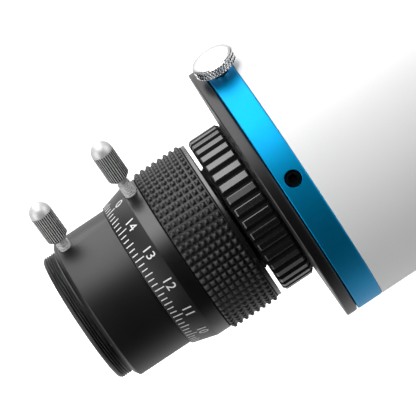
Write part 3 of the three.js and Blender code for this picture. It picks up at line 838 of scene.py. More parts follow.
def number(words):
    """A number as a solid, with its foot a gap beyond the long marks."""
    text = bpy.data.curves.new("number", "FONT")
    text.body = words
    text.align_x = "CENTER"
    text.size = NUMBER_HEIGHT / CAPITAL_SHARE
    text.extrude = (INK_SUNK + INK_PROUD) / 2
    text.space_character = 1.05
    text.resolution_u = 5
    item = bpy.data.objects.new("number", text)
    scene.collection.objects.link(item)
    graph = bpy.context.evaluated_depsgraph_get()
    mesh = bpy.data.meshes.new_from_object(item.evaluated_get(graph))
    shell = bmesh.new()
    shell.from_mesh(mesh)
    bmesh.ops.remove_doubles(shell, verts=shell.verts, dist=1e-4)
    bpy.data.objects.remove(item)
    low = min(v.co.y for v in shell.verts)
    high = max(v.co.y for v in shell.verts)
    for v in shell.verts:
        v.co.y += LONG + NUMBER_GAP + NUMBER_HEIGHT / 2 - (low + high) / 2
        v.co.z += (INK_PROUD - INK_SUNK) / 2
    slice_up(shell, SLICE)
    return shell


# %% Ink the scale
NUMBERS = 15
STEPS_BETWEEN = 6

points, faces = [], []


def keep(shell, turn):
    wrap(shell, turn)
    shell.verts.index_update()
    first = len(points)
    points.extend(tuple(v.co) for v in shell.verts)
    faces.extend(tuple(first + v.index for v in f.verts) for f in shell.faces)
    shell.free()


for i in range(NUMBERS * STEPS_BETWEEN):
    length = {0: LONG, 3: MIDDLE}.get(i % STEPS_BETWEEN, SHORT)
    keep(tick(length), -FULL_TURN * i / (NUMBERS * STEPS_BETWEEN))
for i in range(NUMBERS):
    keep(number(str(i)), -FULL_TURN * i / NUMBERS)
scale = piece("scale_numbers", points, faces)
scale.data.materials.append(INK)
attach(scale, "focus_ring")
print("scale:", NUMBERS, "numbers and", NUMBERS * STEPS_BETWEEN, "marks")

# %% [markdown]
# ## The knurled grip
# The grip is a sleeve with eight rows of small square pads, so that it turns easily with cold
# fingers. On the real part they are cut by crossing grooves. Here the lathe's cutting function
# does the same: a groove profile along the sleeve and one round it are multiplied, which leaves a
# pad with a flat top and rounded corners wherever both are high. Both ends are turned down, and
# they get the dead black paint as painted shade.

# %% Cut the pads
PAD_ROWS = 8
PADS_AROUND = 72
PAD_SAMPLES = 8
GROOVE_SHARE = 0.25
TOP_SHARE = 0.25
GRIP_DEPTH = 0.72
GRIP_RELIEF = 0.3


def pad_profile(phase):
    """0 in the groove and 1 on the pad's top, with a swelling side between."""
    from_middle = np.abs((phase % 1) - 0.5) * 2
    rise = (1 - GROOVE_SHARE - from_middle) / (1 - GROOVE_SHARE - TOP_SHARE)
    return np.sin(np.clip(rise, 0, 1) * math.pi / 2)


grip_rear, grip_front, grip_radius = span("grip_ring")
pad_length = (grip_front - GRIP_RELIEF - grip_rear) / PAD_ROWS


def pads(place, radius, angle):
    row = (place - grip_rear) / pad_length
    height = pad_profile(row) * pad_profile(angle * PADS_AROUND / FULL_TURN)
    on_top = (radius > grip_radius - 0.01) & (place > grip_rear) & (place < grip_front)
    return np.where(on_top, grip_radius - GRIP_DEPTH * (1 - height), radius)


grip_floor = grip_radius - GRIP_DEPTH
grip_bore = GRIP_SEAT_RADIUS + 0.05
grip_outline = [
    (grip_rear, grip_bore),
    (grip_rear, grip_floor - 0.12),
    (grip_rear + 0.1, grip_floor),
    *run(grip_rear + 0.12, grip_front - GRIP_RELIEF, grip_radius, PAD_ROWS * PAD_SAMPLES + 1),
    (grip_front - 0.1, grip_floor),
    (grip_front, grip_floor - 0.12),
    (grip_front, grip_bore),
]
steps = PADS_AROUND * PAD_SAMPLES
grip = turned("grip_ring_finished", optical, grip_outline, steps, pads, crease=50)
fit(grip, "grip_ring", "black_anodised", BLACK, MATT)
# The turned-down ends get the dead black paint as painted shade.
finish_where(grip, 1, lambda x, radius: not grip_rear + 0.12 <= x <= grip_front - GRIP_RELIEF)

# %% [markdown]
# ## The bearing's retaining ring
# A thin plain ring closes the focus ring's front. Only its rim is seen, a shade wider than the
# grooves of the grip.

# %% Turn the retaining ring
NECK_RUNNING_RADIUS = 17.6
retainer_rear, retainer_front, rim_radius = span("bearing_retaining_ring")
retainer_outline = eased(
    [
        (retainer_rear, NECK_RUNNING_RADIUS),
        (retainer_rear, RECESS_RADIUS - 0.05, 0.2),
        (grip_front, RECESS_RADIUS - 0.05),
        (grip_front, rim_radius, 0.25),
        (retainer_front, rim_radius, 0.3),
        (retainer_front, NECK_RUNNING_RADIUS, 0.2),
    ]
)
retainer = turned("bearing_retaining_ring_finished", optical, retainer_outline, 240)
fit(retainer, "bearing_retaining_ring", "black_anodised", BLACK_BRIGHT)

# %% [markdown]
# ## The ribbed lock ring
# This ring screws along the neck to jam the focuser. Its forty flat ribs are left between V
# grooves, and both ends are chamfered at 45 degrees. A rib's top is flat, so its radius grows
# slightly towards its edges, and the columns of the mesh are placed just where the surface
# changes direction: at the groove's floor, its lips and the rib's middle.

# %% Cut the ribs
RIBS = 40
RIB_GROOVE_DEPTH = 1.06
RIB_CHAMFER = 1.0
LIP = 0.02

lock_rear, lock_front, lock_outer = span("lock_ring")
rib_pitch = FULL_TURN / RIBS
flat_radius = lock_outer * math.cos(rib_pitch / 2)
mouth = RIB_GROOVE_DEPTH / flat_radius / rib_pitch
FLOOR_HALF_SHARE = 0.02
half_rib = [FLOOR_HALF_SHARE, mouth - LIP, mouth + LIP]
rib_columns = [*half_rib, 0.5, *[1 - column for column in reversed(half_rib)]]
rib_angles = [(rib + column) * rib_pitch for rib in range(RIBS) for column in rib_columns]


def ribs(place, radius, angle):
    phase = (angle / rib_pitch) % 1
    from_groove = np.minimum(phase, 1 - phase)
    flat = flat_radius / np.cos((0.5 - from_groove) * rib_pitch)
    lip = 0.5 * np.clip(1 - np.abs(from_groove - mouth) / (LIP * 1.01), 0, 1)
    depth = RIB_GROOVE_DEPTH * np.clip(1 - from_groove / mouth, 0, 1)
    top = np.minimum(flat - depth - lip * 0.02, lock_outer)
    end_distance = np.minimum(place - lock_rear, lock_front - place)
    chamfered = lock_outer - RIB_CHAMFER + end_distance
    return np.where(radius > NECK_RUNNING_RADIUS + 0.5, np.minimum(top, chamfered), radius)


chamfer_steps = [0, 0.2, 0.4, 0.6, 0.8, 1.0, 1.06]
lock_outline = [
    (lock_rear, NECK_RUNNING_RADIUS),
    *[(lock_rear + step * RIB_CHAMFER, lock_outer) for step in chamfer_steps],
    *[(lock_front - step * RIB_CHAMFER, lock_outer) for step in reversed(chamfer_steps)],
    (lock_front, NECK_RUNNING_RADIUS),
]
lock_ring = turned(
    "lock_ring_finished", optical, lock_outline, shape=ribs, angles=rib_angles, crease=20
)
fit(lock_ring, "lock_ring", "black_anodised", BLACK_BRIGHT, MATT)
# The faces in the V grooves get the dead black paint as painted shade.
for face in lock_ring.data.polygons:
    turn = math.atan2(-face.center.y, face.center.z - axis_height * MM) / rib_pitch % 1
    face.material_index = int(min(turn, 1 - turn) < mouth)

# %% [markdown]
# ## The flange and the neck
# The focuser hangs on a wide black flange, faced off on the lathe in a very shallow cone. The
# flange turns inside the blue collar, where a V groove takes the tip of the lock knob. The neck is
# a tube through everything, on which the focus ring runs.

# %% Turn the flange
FLANGE_EDGE = 0.3
FLANGE_GAP = 0.26
GROOVE_HALF_TOP, GROOVE_HALF_FLOOR, GROOVE_DEPTH = 2.2, 0.6, 1.6
flange_rear, flange_front, flange_radius = span("rotator_flange")
collar_rear, collar_tip, collar_radius = span("rear_collar")
FLANGE_BORE = 17.45
ROTATOR_RADIUS = 35.7
ROTATOR_WALL = 4.6
FLANGE_SEAT_RADIUS = 27.0
knob_x = sum(c.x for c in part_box("rotator_lock_knob")) / 2 / MM
rim_front = collar_rear - FLANGE_GAP
flange_outline = eased(
    [
        (flange_rear, FLANGE_BORE, 0.2),
        (flange_rear, FLANGE_SEAT_RADIUS),
        (flange_seat, flange_radius - FLANGE_EDGE),
        (flange_seat + FLANGE_EDGE, flange_radius, 0.1),
        (rim_front, flange_radius, 0.9),
        (rim_front, ROTATOR_RADIUS),
        (knob_x - GROOVE_HALF_TOP, ROTATOR_RADIUS, 0.2),
        (knob_x - GROOVE_HALF_FLOOR, ROTATOR_RADIUS - GROOVE_DEPTH),
        (knob_x + GROOVE_HALF_FLOOR, ROTATOR_RADIUS - GROOVE_DEPTH),
        (knob_x + GROOVE_HALF_TOP, ROTATOR_RADIUS, 0.2),
        (flange_front, ROTATOR_RADIUS, 0.4),
        (flange_front, ROTATOR_RADIUS - ROTATOR_WALL, 0.4),
        (rim_front, ROTATOR_RADIUS - ROTATOR_WALL),
        (rim_front, FLANGE_BORE, 0.2),
    ]
)
flange = turned("rotator_flange_finished", optical, flange_outline, 256)
fit(flange, "rotator_flange", "black_anodised", BLACK_TURNED)

# %% Turn the neck
NECK_BORE = 16.1
NECK_RADIUS = 17.4
NECK_THREAD_PITCH = 1.0
NECK_THREAD_DEPTH = 0.5
PIN_HOLE_RADIUS = 1.3
neck_front, bearing_radius = span("neck_tube")[1:]
bearing_rear = span("thrust_washer_rear")[1]
bearing_front = span("thrust_washer_front")[0]
gap_rear, gap_front = retainer_front - 0.5, flange_rear - 0.2
neck_outline = [
    (neck_rear, NECK_BORE),
    (neck_rear, NECK_RADIUS),
    (bearing_rear, NECK_RADIUS),
    (bearing_rear, bearing_radius),
    (bearing_front, bearing_radius),
    (bearing_front, NECK_RADIUS),
    *run(gap_rear, gap_front, NECK_RADIUS, 110),
    (neck_front, NECK_RADIUS),
    (neck_front, NECK_BORE),
]
lock_thread = thread(NECK_RADIUS, NECK_THREAD_PITCH, NECK_THREAD_DEPTH, gap_rear, gap_front)
neck = turned("neck_tube_finished", optical, neck_outline, 120, lock_thread)
pin_holes = [
    rod(radial(pin_x, angle), NECK_BORE - 1, NECK_RADIUS + 1, PIN_HOLE_RADIUS, 32)
    for angle in PIN_ANGLES
]
fit(cut_away(neck, pin_holes), "neck_tube", "black_anodised", BLACK)

# %% [markdown]
# ## The blue collar
# The collar joins the white tube to the focuser. Three screws in tapped holes centre it on the
# tube, and the lock knob stands in a fourth hole at the top. Each hole is drilled together with a
# small countersink, by one cutter that widens into a cone at the surface.

# %% Turn and drill the collar
collar_middle = knob_x
COLLAR_BORE = 35.9
LEDGE = 2.6
collar_front = 2 * collar_middle - collar_rear
spigot_radius = span("baffle_1")[2]
spigot_bore = spigot_radius - LEDGE
collar_stop = flange_front + 0.2
ledge_bore = ROTATOR_RADIUS - ROTATOR_WALL
collar_outline = eased(
    [
        (collar_rear, COLLAR_BORE, 0.2),
        (collar_rear, collar_radius, 0.35),
        (collar_front, collar_radius, 0.5),
        (collar_front, spigot_radius),
        (collar_tip, spigot_radius, 0.5),
        (collar_tip, spigot_bore, 0.5),
        (collar_stop + LEDGE, spigot_bore),
        (collar_stop + LEDGE, ledge_bore),
        (collar_stop, ledge_bore),
        (collar_stop, COLLAR_BORE),
    ],
    4,
)
collar = turned("rear_collar_finished", optical, collar_outline, 256)
TAPPED_RADIUS = 2.55
KNOB_HOLE_RADIUS = 2.6
SET_SCREW_ANGLES = {1: 60, 2: 180, 3: 300}
holes = []
for angle in (0, *SET_SCREW_ANGLES.values()):
    radius = TAPPED_RADIUS if angle else KNOB_HOLE_RADIUS
    spindle = radial(collar_middle, angle)
    countersink = [
        (COLLAR_BORE - 2, 0), (COLLAR_BORE - 2, radius), (collar_radius - 0.12, radius),
        (collar_radius + 0.3, radius + 0.42), (collar_radius + 0.3, 0),
    ]
    holes.append(turned("cutter", spindle, countersink, 64))
fit(cut_away(collar, holes), "rear_collar", "blue_anodised", BLUE)
print("collar", round(collar_front - collar_rear, 2), "mm wide")

# %% [markdown]
# ## Small screws in the collar
# The three set screws sit below the collar's surface, so each hole looks dark with a hint of a
# hexagon socket inside. A screw is turned, and its socket is cut with a six-sided cutter.

# %% Make the set screws
SET_SCREW_RADIUS = 2.45
SET_SCREW_SUNK = 1.5
SET_SCREW_SOCKET = 2.5
SET_SCREW_SOCKET_DEPTH = 2.0


def hex_cutter(spindle, start, stop, across):
    """A six-sided cutter, measured across its flats."""
    return rod(spindle, start, stop, across / 2 / math.cos(math.pi / 6), 6)


for i, angle in SET_SCREW_ANGLES.items():
    node = f"collar_set_screw_{i}"
    spindle = radial(collar_middle, angle)
    screw_top = collar_radius - SET_SCREW_SUNK
    point = ROTATOR_RADIUS + 0.35
    thread_start = point + 2.0
    outline = [
        (point, 0), (point, 0.5), (thread_start, SET_SCREW_RADIUS),
        *run(thread_start + 0.1, screw_top - 0.3, SET_SCREW_RADIUS, 14),
        (screw_top - 0.1, 2.3), (screw_top, 2.1), (screw_top, 0),
    ]
    grip_thread = thread(SET_SCREW_RADIUS, 0.8, 0.3, thread_start, screw_top - 0.2)
    screw = turned(node + "_finished", spindle, outline, 48, grip_thread)
    socket_floor = screw_top - SET_SCREW_SOCKET_DEPTH
    cut_away(screw, [hex_cutter(spindle, socket_floor, screw_top + 1, SET_SCREW_SOCKET)])
    fit(screw, node, "dark_steel", DARK_STEEL)

# %% [markdown]
# ## The rotator lock knob
# The knob is a thick disc, bright all over, flat on top and falling away slightly towards its
# edge. Its rim is knurled in diamonds, by two sets of grooves that wind opposite ways. Taking the
# deeper of the two grooves at each point leaves the diamonds.

# %% Knurl the knob
KNOB_RIM_HEIGHT = 3.2
KNOB_CROWN = 0.6
KNOB_DIAMONDS = 40
DIAMOND_ROWS = 2.0
DIAMOND_DEPTH = 0.5
KNURL_INSET = 0.35
KNOB_FLAT_RADIUS = 4.1
KNOB_DROP = 0.45

knob_low, knob_high = height_span("rotator_lock_knob")
knob_radius = (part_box("rotator_lock_knob")[1].x / MM) - knob_x
knob_bottom = knob_high - KNOB_CROWN - KNOB_RIM_HEIGHT
rim_top = knob_bottom + KNOB_RIM_HEIGHT
knurl_low, knurl_high = knob_bottom + KNURL_INSET, rim_top - KNURL_INSET
top_edge = knob_radius - 0.45


def ridge(phase):
    """0 in the bottom of a V groove and 1 on the ridge between two."""
    return 1 - np.abs(2 * (phase % 1) - 1)


def diamonds(place, radius, angle):
    climb = (place - knurl_low) / (knurl_high - knurl_low) * DIAMOND_ROWS
    around = angle / FULL_TURN * KNOB_DIAMONDS
    height = np.minimum(ridge(around + climb / 2), ridge(around - climb / 2))
    on_rim = (place >= knurl_low) & (place <= knurl_high) & (radius > knob_radius - 0.01)
    return np.where(on_rim, radius - DIAMOND_DEPTH * (1 - np.minimum(1.5 * height, 1)), radius)


KNOB_SHANK = 2.25
knob_outline = [
    (knob_low, 0),
    *eased(
        [
            (knob_low, 1.95), (knob_low + 0.3, KNOB_SHANK), (knob_bottom, KNOB_SHANK, 0.25),
            (knob_bottom, knob_radius - 0.5, 0.1),
        ]
    )[:-1],
    (knurl_low - 0.02, knob_radius - 0.12),
    *run(knurl_low, knurl_high, knob_radius, 21),
    (knurl_high + 0.02, knob_radius - 0.1),
    (rim_top - 0.06, knob_radius - 0.42),
    *[
        (knob_high - KNOB_DROP * t * t, KNOB_FLAT_RADIUS + (top_edge - KNOB_FLAT_RADIUS) * t)
        for t in np.linspace(1, 0, 10)
    ],
    (knob_high, 0),
]
steps = KNOB_DIAMONDS * 8
knob = turned("rotator_lock_knob_finished", radial(knob_x), knob_outline, steps, diamonds)
fit(knob, "rotator_lock_knob", "polished_steel", PLATED)

# %% [markdown]
# ## Thumb screws
# The two thumb screws are alike: a nickel-plated head with thirty straight flutes, chamfered
# below and domed above, on an M4 thread. The flutes fade out over the chamfer and end at the
# dome's edge. Their floors get the dark steel as painted shade.

# %% Turn a thumb screw
FLUTES = 30
FLUTE_DEPTH = 0.32
HEAD_LENGTH = 9.2
HEAD_CHAMFER = 1.1
SCREW_THREAD_PITCH = 0.7
SCREW_THREAD_DEPTH = 0.38
THREAD_BELOW_SURFACE = 1.4
SCREW_RADIUS = 1.95
SCREW_NECK_RADIUS = 1.65
SCREW_NECK_LENGTH = 1.5
TIP_GAP = 0.03


def crown(edge, radius, height, count):
    """A low dome as outline points, from the edge up to the middle."""
    return [
        (edge + height * math.sin(t), radius * math.cos(t) if t < 1.57 else 0)
        for t in np.linspace(0, math.pi / 2, count)
    ]


def thumb_screw(node, surface):
    """surface is the radius of the part that the screw enters."""
    low, high = height_span(node)
    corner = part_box(node)
    x = sum(c.x for c in corner) / 2 / MM
    head_radius = corner[1].x / MM - x
    head_edge = high - head_radius - HEAD_LENGTH
    head_bottom = head_edge - HEAD_CHAMFER
    thread_top = head_bottom - SCREW_NECK_LENGTH
    thread_end = surface - THREAD_BELOW_SURFACE
    cut_thread = thread(
        SCREW_RADIUS, SCREW_THREAD_PITCH, SCREW_THREAD_DEPTH, thread_end, thread_top
    )
    dome_edge = high - head_radius

    def flutes(place, radius, angle):
        radius = cut_thread(place, radius, angle)
        groove = np.clip(1 - 1.5 * ridge(angle / FULL_TURN * FLUTES), 0, 1)
        fade = np.clip((place - head_bottom - 0.2) / 0.9, 0, 1)
        fade = fade * np.clip((dome_edge + 0.15 - place) / 0.3, 0, 1)
        on_head = radius > SCREW_RADIUS + 0.3
        return np.where(on_head, radius - FLUTE_DEPTH * groove * fade, radius)

    outline = [
        (low + TIP_GAP, 0),
        (low + TIP_GAP, SCREW_RADIUS - 0.35),
        (low + 0.35, SCREW_RADIUS),
        *run(thread_end, thread_top - 0.05, SCREW_RADIUS, int((thread_top - thread_end) * 12)),
        (thread_top, SCREW_RADIUS - 0.1),
        (thread_top, SCREW_NECK_RADIUS),
        (head_bottom, SCREW_NECK_RADIUS),
        (head_bottom, head_radius - HEAD_CHAMFER),
        (head_bottom + HEAD_CHAMFER * 0.5, head_radius - HEAD_CHAMFER * 0.5),
        (head_edge, head_radius),
        *run(head_edge + 0.2, dome_edge - 0.25, head_radius, 6),
        (dome_edge - 0.1, head_radius),
        (dome_edge + 0.15, head_radius - 0.05),
        *crown(dome_edge + 0.15, head_radius - 0.08, head_radius - 0.15, 14)[1:],
    ]
    screw = turned(node + "_finished", radial(x), outline, FLUTES * 8, flutes, crease=30)
    fit(screw, node, "polished_steel", SATIN, DARK_STEEL)
    # Faces on the flute floors get the dark steel as painted shade.
    for face in screw.data.polygons:
        across, near, up = np.array(face.center) / MM - (x, 0, axis_height)
        on_head = head_bottom + 0.4 < up < dome_edge
        in_painted_shade_groove = ridge(math.atan2(near, across) / FULL_TURN * FLUTES) < 0.5
        face.material_index = int(on_head and in_painted_shade_groove)


thumb_screw("eyepiece_clamp_screw", barrel_radius)
thumb_screw("focus_lock_screw", BAND_RADIUS)

# %% [markdown]
# ## The main tube and the dew shield
# Both are thin tubes, white outside and dead black inside. One mesh carries two materials: every
# face inside the wall gets the black one. A fine line is turned near the dew shield's front.

# %% Turn the tubes
TUBE_WALL = 2.0
tube_start, tube_end, tube_radius = span("main_tube")
tube_bore = tube_radius - TUBE_WALL
tube_outline = eased(
    [
        (tube_start, tube_bore, 0.2),
        (tube_start, tube_radius, 0.25),
        (tube_end, tube_radius, 0.25),
        (tube_end, tube_bore, 0.2),
    ],
    4,
)
main_tube = turned("main_tube_finished", optical, tube_outline, 256)
SADDLE_HOLE_RADIUS = 2.1
saddle_screws = [
    sum(c.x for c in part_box(f"saddle_screw_{end}")) / 2 / MM for end in ("rear", "front")
]
screw_holes = [
    rod(radial(x, 180), tube_radius - 4, tube_radius + 2, SADDLE_HOLE_RADIUS, 32)
    for x in saddle_screws
]
cut_away(main_tube, screw_holes)
fit(main_tube, "main_tube", "white_paint", WHITE, MATT)
finish_where(main_tube, 1, lambda x, radius: radius < tube_bore + 0.1)

SHIELD_WALL = 1.7
LINE_DEPTH = 0.12
LINE_FROM_FRONT = 8.0, 7.8, 7.4, 7.2
shield_rear, shield_front, shield_radius = span("dew_shield")
shield_bore = shield_radius - SHIELD_WALL
shield_outline = eased(
    [
        (shield_rear, shield_bore, 0.3),
        (shield_rear, shield_radius, 0.5),
        *[
            (shield_front - back, shield_radius - depth, 0.05)
            for back, depth in zip(LINE_FROM_FRONT, (0, LINE_DEPTH, LINE_DEPTH, 0))
        ],
        (shield_front, shield_radius, 0.6),
        (shield_front, shield_bore, 0.5),
    ],
    4,
)
shield = turned("dew_shield_finished", optical, shield_outline, 256)
fit(shield, "dew_shield", "white_paint", WHITE, MATT)
finish_where(shield, 1, lambda x, radius: radius < shield_bore + 0.2)

liner_rear, liner_front, liner_radius = span("dew_shield_liner")
liner_bore = tube_radius + 0.2
liner_outline = eased(
    [
        (liner_rear, liner_bore, 0.15), (liner_rear, liner_radius, 0.15),
        (liner_front, liner_radius, 0.15), (liner_front, liner_bore, 0.15),
    ]
)
liner = turned("dew_shield_liner_finished", optical, liner_outline, 192)
fit(liner, "dew_shield_liner", "felt", FELT)

# %% [markdown]
# ## Baffles
# Two black diaphragms stop light that has bounced off the tube's wall. Each is a thin plate with
# a skirt that holds it in the tube, and its opening just clears the cone of light.

# %% Turn the baffles
CELL_SEAT_BORE = 34.5
FIELD_RADIUS = 8
FOCAL_LENGTH = 280
BAFFLE_CLEARANCE = 1
SKIRT = 0.9
for i in (1, 2):
    rear, front, outer = span(f"baffle_{i}")
    share_of_cone = (front - (tube_end - FOCAL_LENGTH)) / FOCAL_LENGTH
    light = FIELD_RADIUS + (CELL_SEAT_BORE - FIELD_RADIUS) * share_of_cone
    opening = light + BAFFLE_CLEARANCE
    outline = eased(
        [
            (front - 1, opening), (front - 1, outer - SKIRT, 0.3), (rear, outer - SKIRT, 0.1),
            (rear, outer, 0.1), (front, outer, 0.4), (front, opening),
        ]
    )
    baffle = turned(f"baffle_{i}_finished", optical, outline, 160)
    fit(baffle, f"baffle_{i}", "black_matt", MATT)
    print("baffle", i, "opening radius", round(opening, 1))

# %% [markdown]
# ## The objective
# The lens cell holds a crown and a flint lens against a seat, with a thin spacer ring between them
# and a threaded retaining ring in front. The faces of the lenses are spheres, so their outlines
# are arcs whose height comes from the sagitta.

# %% Turn the cell and its rings
cell_rear, cell_front, cell_radius = span("objective_cell")
retainer_back, retainer_face, retainer_radius = span("lens_retaining_ring")
cell_bore = retainer_radius + 0.05
CELL_RIM = 3.5
CELL_STEP = 1.4
cell_lip = tube_end + CELL_RIM
seat_x = cell_rear + 3
cell_body = tube_bore - FIT_GAP
cell_outline = [
    *eased(
        [
            (cell_rear, CELL_SEAT_BORE, 0.3),
            (cell_rear, cell_body, 0.3),
            (tube_end, cell_body),
            (tube_end, cell_radius, 0.3),
            (cell_lip, cell_radius, 0.35),
            (cell_lip, cell_radius - CELL_STEP),
            (cell_front, cell_radius - CELL_STEP, 0.4),
            (cell_front, cell_bore, 0.4),
        ]
    ),
    *run(cell_front - 0.5, retainer_face + 0.05, cell_bore, 26),
    (seat_x, cell_bore),
    (seat_x, CELL_SEAT_BORE),
]


def bore_thread(place, radius, angle):
    wave = np.abs(2 * ((place / THREAD_PITCH - angle / FULL_TURN) % 1) - 1)
    in_thread = (place > retainer_face) & (place < cell_front - 0.55)
    threaded = in_thread & (np.abs(radius - cell_bore) < 0.01)
    return np.where(threaded, radius + 0.3 * wave, radius)


cell = turned("objective_cell_finished", optical, cell_outline, 200, bore_thread)
fit(cell, "objective_cell", "black_anodised", BLACK_TURNED)

ring_outline = eased(
    [
        (retainer_back, CELL_SEAT_BORE, 0.3),
        (retainer_back, retainer_radius),
        (retainer_face, retainer_radius, 0.2),
        (retainer_face, CELL_SEAT_BORE, 0.8),
    ],
    4,
)
retaining_ring = turned("lens_retaining_ring_finished", optical, ring_outline, 192)
NOTCH_HEIGHTS = CELL_SEAT_BORE - 1, CELL_SEAT_BORE + 1.2
notches = [
    box_cutter(radial(retainer_face, angle), NOTCH_HEIGHTS, (-1.2, 0.5), 0.9) for angle in (0, 180)
]
fit(cut_away(retaining_ring, notches), "lens_retaining_ring", "black_anodised", BLACK)

# %% Grind the lenses
LENS_SAMPLES = 24


def sagitta(curve, radius):
    """How far a sphere of this curve has fallen away at a radius."""
    return curve - math.sqrt(curve * curve - radius * radius)


def ground_face(edge, curve, bulge, lens_radius):
    """A face from the axis to its edge; bulge is 1 towards the front and -1 towards the rear."""
    return [
        (edge + bulge * (sagitta(curve, lens_radius) - sagitta(curve, r)), r)
        for r in np.linspace(0, lens_radius, LENS_SAMPLES)
    ]


crown_rear, crown_front, lens_radius = span("crown_lens")
flint_rear, flint_front, _ = span("flint_lens")
CROWN_CURVE, FLINT_FRONT_CURVE, FLINT_REAR_CURVE = 170, 165, 600
crown_depth = sagitta(CROWN_CURVE, lens_radius)
crown_outline = [
    *ground_face(crown_rear + crown_depth, CROWN_CURVE, -1, lens_radius),
    *ground_face(crown_front - crown_depth, CROWN_CURVE, 1, lens_radius)[::-1],
]
crown_lens = turned("crown_lens_finished", optical, crown_outline, 128, crease=30)
fit(crown_lens, "crown_lens", "lens_glass", GLASS)
flint_depth = sagitta(FLINT_REAR_CURVE, lens_radius)
flint_outline = [
    *ground_face(flint_rear + flint_depth, FLINT_REAR_CURVE, -1, lens_radius),
    *ground_face(flint_front, FLINT_FRONT_CURVE, -1, lens_radius)[::-1],
]
flint_lens = turned("flint_lens_finished", optical, flint_outline, 128, crease=30)
fit(flint_lens, "flint_lens", "lens_glass", GLASS)

# %% [markdown]
# ## The foot
# The telescope stands on a black saddle and a dovetail bar. Both are milled from bar stock: a
# section is drawn once and pulled along the tube, then every long edge and both ends are bevelled
# before the holes are drilled. Two cap screws come up through the bar into the saddle.

# %% Mill the saddle and the bar
def milled(name, section, start, stop, break_edge):
    """A length of bar stock. The section is a list of (across, height above the axis)."""
    count = len(section)
    points = [(x, y, z + axis_height) for x in (start, stop) for y, z in section]
    faces = [tuple(range(count)), tuple(range(2 * count - 1, count - 1, -1))]
    faces += [(i, (i + 1) % count, count + (i + 1) % count, count + i) for i in range(count)]
    item = piece(name, points, faces)
    bevel = item.modifiers.new("edges", "BEVEL")
    bevel.width = break_edge * MM
    bevel.segments = 3
    bevel.angle_limit = math.radians(25)
    bevel.use_clamp_overlap = True
    return bake(item, 30)


bar_low, bar_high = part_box("dovetail_bar")
saddle_low, saddle_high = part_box("foot_saddle")
bar_half = bar_high.y / MM
bar_bottom, bar_top = height_span("dovetail_bar")
BAR_TOP_HALF = 18.0
BAR_EDGE_HEIGHT = 3.0
bar_section = [
    (-bar_half, bar_bottom), (bar_half, bar_bottom), (bar_half, bar_bottom + BAR_EDGE_HEIGHT),
    (BAR_TOP_HALF, bar_top), (-BAR_TOP_HALF, bar_top), (-bar_half, bar_bottom + BAR_EDGE_HEIGHT),
]
bar = milled("dovetail_bar_finished", bar_section, bar_low.x / MM, bar_high.x / MM, 0.5)
POCKET_DEPTH, POCKET_RADIUS, CLEARANCE_RADIUS = 6.2, 5.2, 3.2
TRIPOD_THREAD_HALF_SPACING, TRIPOD_THREAD_RADIUS, TRIPOD_THREAD_DEPTH = 36, 3.18, 10
bar_screws = [sum(c.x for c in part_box(f"bar_screw_{end}")) / 2 / MM for end in ("rear", "front")]
bar_middle = (bar_low.x + bar_high.x) / 2 / MM
under, pocket_floor = bar_bottom - 1, bar_bottom + POCKET_DEPTH
stepped = [
    (under, 0), (under, POCKET_RADIUS), (pocket_floor, POCKET_RADIUS),
    (pocket_floor, CLEARANCE_RADIUS), (bar_top + 1, CLEARANCE_RADIUS), (bar_top + 1, 0),
]
pockets = [turned("cutter", radial(x), stepped, 48) for x in bar_screws]
for side in (-1, 1):
    spindle = radial(bar_middle + side * TRIPOD_THREAD_HALF_SPACING)
    pockets.append(rod(spindle, under, bar_bottom + TRIPOD_THREAD_DEPTH, TRIPOD_THREAD_RADIUS))
fit(cut_away(bar, pockets), "dovetail_bar", "black_anodised", BLACK)

saddle_half = saddle_high.y / MM
saddle_bottom = height_span("foot_saddle")[0]
bed_radius = tube_radius + FIT_GAP
bed_angle = math.asin(saddle_half / bed_radius)
bed = [
    (bed_radius * math.sin(t), -bed_radius * math.cos(t))
    for t in np.linspace(bed_angle, -bed_angle, 41)
]
saddle_section = [(-saddle_half, saddle_bottom), (saddle_half, saddle_bottom), *bed]
saddle = milled("foot_saddle_finished", saddle_section, saddle_low.x / MM, saddle_high.x / MM, 0.4)
drilled = [rod(radial(x), saddle_bottom - 1, saddle_bottom + 4.6, 3.0) for x in bar_screws]
drilled += [
    rod(radial(x, 180), tube_radius - 1, tube_radius + 4.8, SADDLE_HOLE_RADIUS, 32)
    for x in saddle_screws
]
fit(cut_away(saddle, drilled), "foot_saddle", "black_anodised", BLACK)

# %% Turn the cap screws
SOCKET_SHARE = 0.55


def cap_screw(node, head_radius, head_height, shank_radius, socket, head_down):
    """A socket screw on the line through the tube's lowest point."""
    low, high = height_span(node)
    x = sum(c.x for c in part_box(node)) / 2 / MM
    spindle = radial(x, 0 if head_down else 180)
    face, tip = (low, high) if head_down else (-high, -low)
    outline = [
        (face, 0),
        *eased(
            [
                (face, head_radius, 0.4), (face + head_height, head_radius, 0.2),
                (face + head_height, shank_radius, 0.2), (tip - 0.3, shank_radius),
                (tip, shank_radius - 0.3),
            ]
        ),
        (tip, 0),
    ]
    item = turned(node + "_finished", spindle, outline, 64)
    cutter = hex_cutter(spindle, face - 1, face + head_height * SOCKET_SHARE, socket)
    fit(cut_away(item, [cutter]), node, "dark_steel", DARK_STEEL)


for end in ("rear", "front"):
    cap_screw(f"bar_screw_{end}", 4.9, 4.95, 2.9, 5.0, True)
    cap_screw(f"saddle_screw_{end}", 3.5, 2.2, 2.0, 2.5, False)

# %% [markdown]
# ## Hidden parts
# Some parts are hardly seen: nuts, washers, pins and screw tips. Their CAD shapes are right as
# they are, so they stay, and only get their finish. The clamping ring can be seen inside the
# eyepiece socket, so it gets a finely turned piece, split at the bottom.

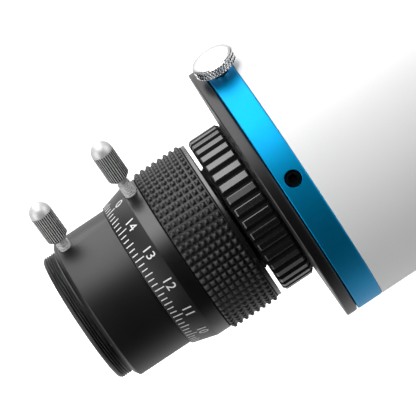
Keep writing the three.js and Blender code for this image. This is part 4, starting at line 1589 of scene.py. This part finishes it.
# %% Finish the parts that stay
stays = {
    "neck_nut": ("black_anodised", BLACK),
    "thrust_washer_rear": ("nylon", NYLON),
    "thrust_washer_front": ("nylon", NYLON),
    "lock_ring_washer": ("nylon", NYLON),
    "lens_spacer": ("nylon", NYLON),
    "eyepiece_clamp_tip": ("nylon", NYLON),
    "focus_lock_tip": ("nylon", NYLON),
    "rotator_lock_pad": ("brass", BRASS),
    "guide_pin_1": ("dark_steel", DARK_STEEL),
    "guide_pin_2": ("dark_steel", DARK_STEEL),
    "guide_pin_3": ("dark_steel", DARK_STEEL),
}
for node, (slot, finish) in stays.items():
    part = frame["nodes"][node]
    part.data.materials.clear()
    part.data.materials.append(finish)
print(len(stays), "parts stay as they are")

ring_outline = eased(
    [
        (clamp_rear, SOCKET_RADIUS, 0.15), (clamp_rear, clamp_radius, 0.15),
        (clamp_front, clamp_radius, 0.15), (clamp_front, SOCKET_RADIUS, 0.15),
    ]
)
clamp_ring = turned("eyepiece_clamp_ring_finished", optical, ring_outline, 160)
split = rod(radial(clamp_x, 180), SOCKET_RADIUS - 2, clamp_radius + 2, 2.0, 4)
fit(cut_away(clamp_ring, [split]), "eyepiece_clamp_ring", "brass", BRASS)

# %% [markdown]
# ## The floor
# The floor is a wide pale sheet that glows a little, as paper lit from below does, so the shadow
# on it is hardly seen. It is left out of reflections, because the surround already shines from
# below as a pale table would.

# %% Lay the floor
FLOOR_HALF = 3000
FLOOR_LEVEL = -0.05


def floor_paper():
    made, tree, shader = new_finish("floor_paper")
    fibre = grain(tree, 3, 3)
    linked(
        tree,
        shader,
        {
            "Base Color": ramp(tree, fibre, [(0.3, 0.90), (0.7, 0.93)]),
            "Roughness": 0.9,
            "Specular IOR Level": 0.1,
            "Emission Color": (1, 1, 1, 1),
            "Emission Strength": 0.7,
        },
    )
    return made


quarters = ((-1, -1), (1, -1), (1, 1), (-1, 1))
corners = [(x * FLOOR_HALF, y * FLOOR_HALF, FLOOR_LEVEL) for x, y in quarters]
floor = piece("floor", corners, [(0, 1, 2, 3)])
floor.data.materials.append(floor_paper())
floor.visible_glossy = floor.visible_diffuse = False
floor.visible_shadow = floor.visible_transmission = False
floor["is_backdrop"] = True

# %% [markdown]
# ## Check the size
# The finished pieces may not outgrow the CAD model, so the largest step between the two boxes is
# printed.

# %% Write the sizes and finish
made_low, made_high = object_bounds()
steps = [abs(a - b) for a, b in zip([*cad_low, *cad_high], [*made_low, *made_high])]
print("largest step between the boxes, in mm:", round(max(steps) / MM, 3))
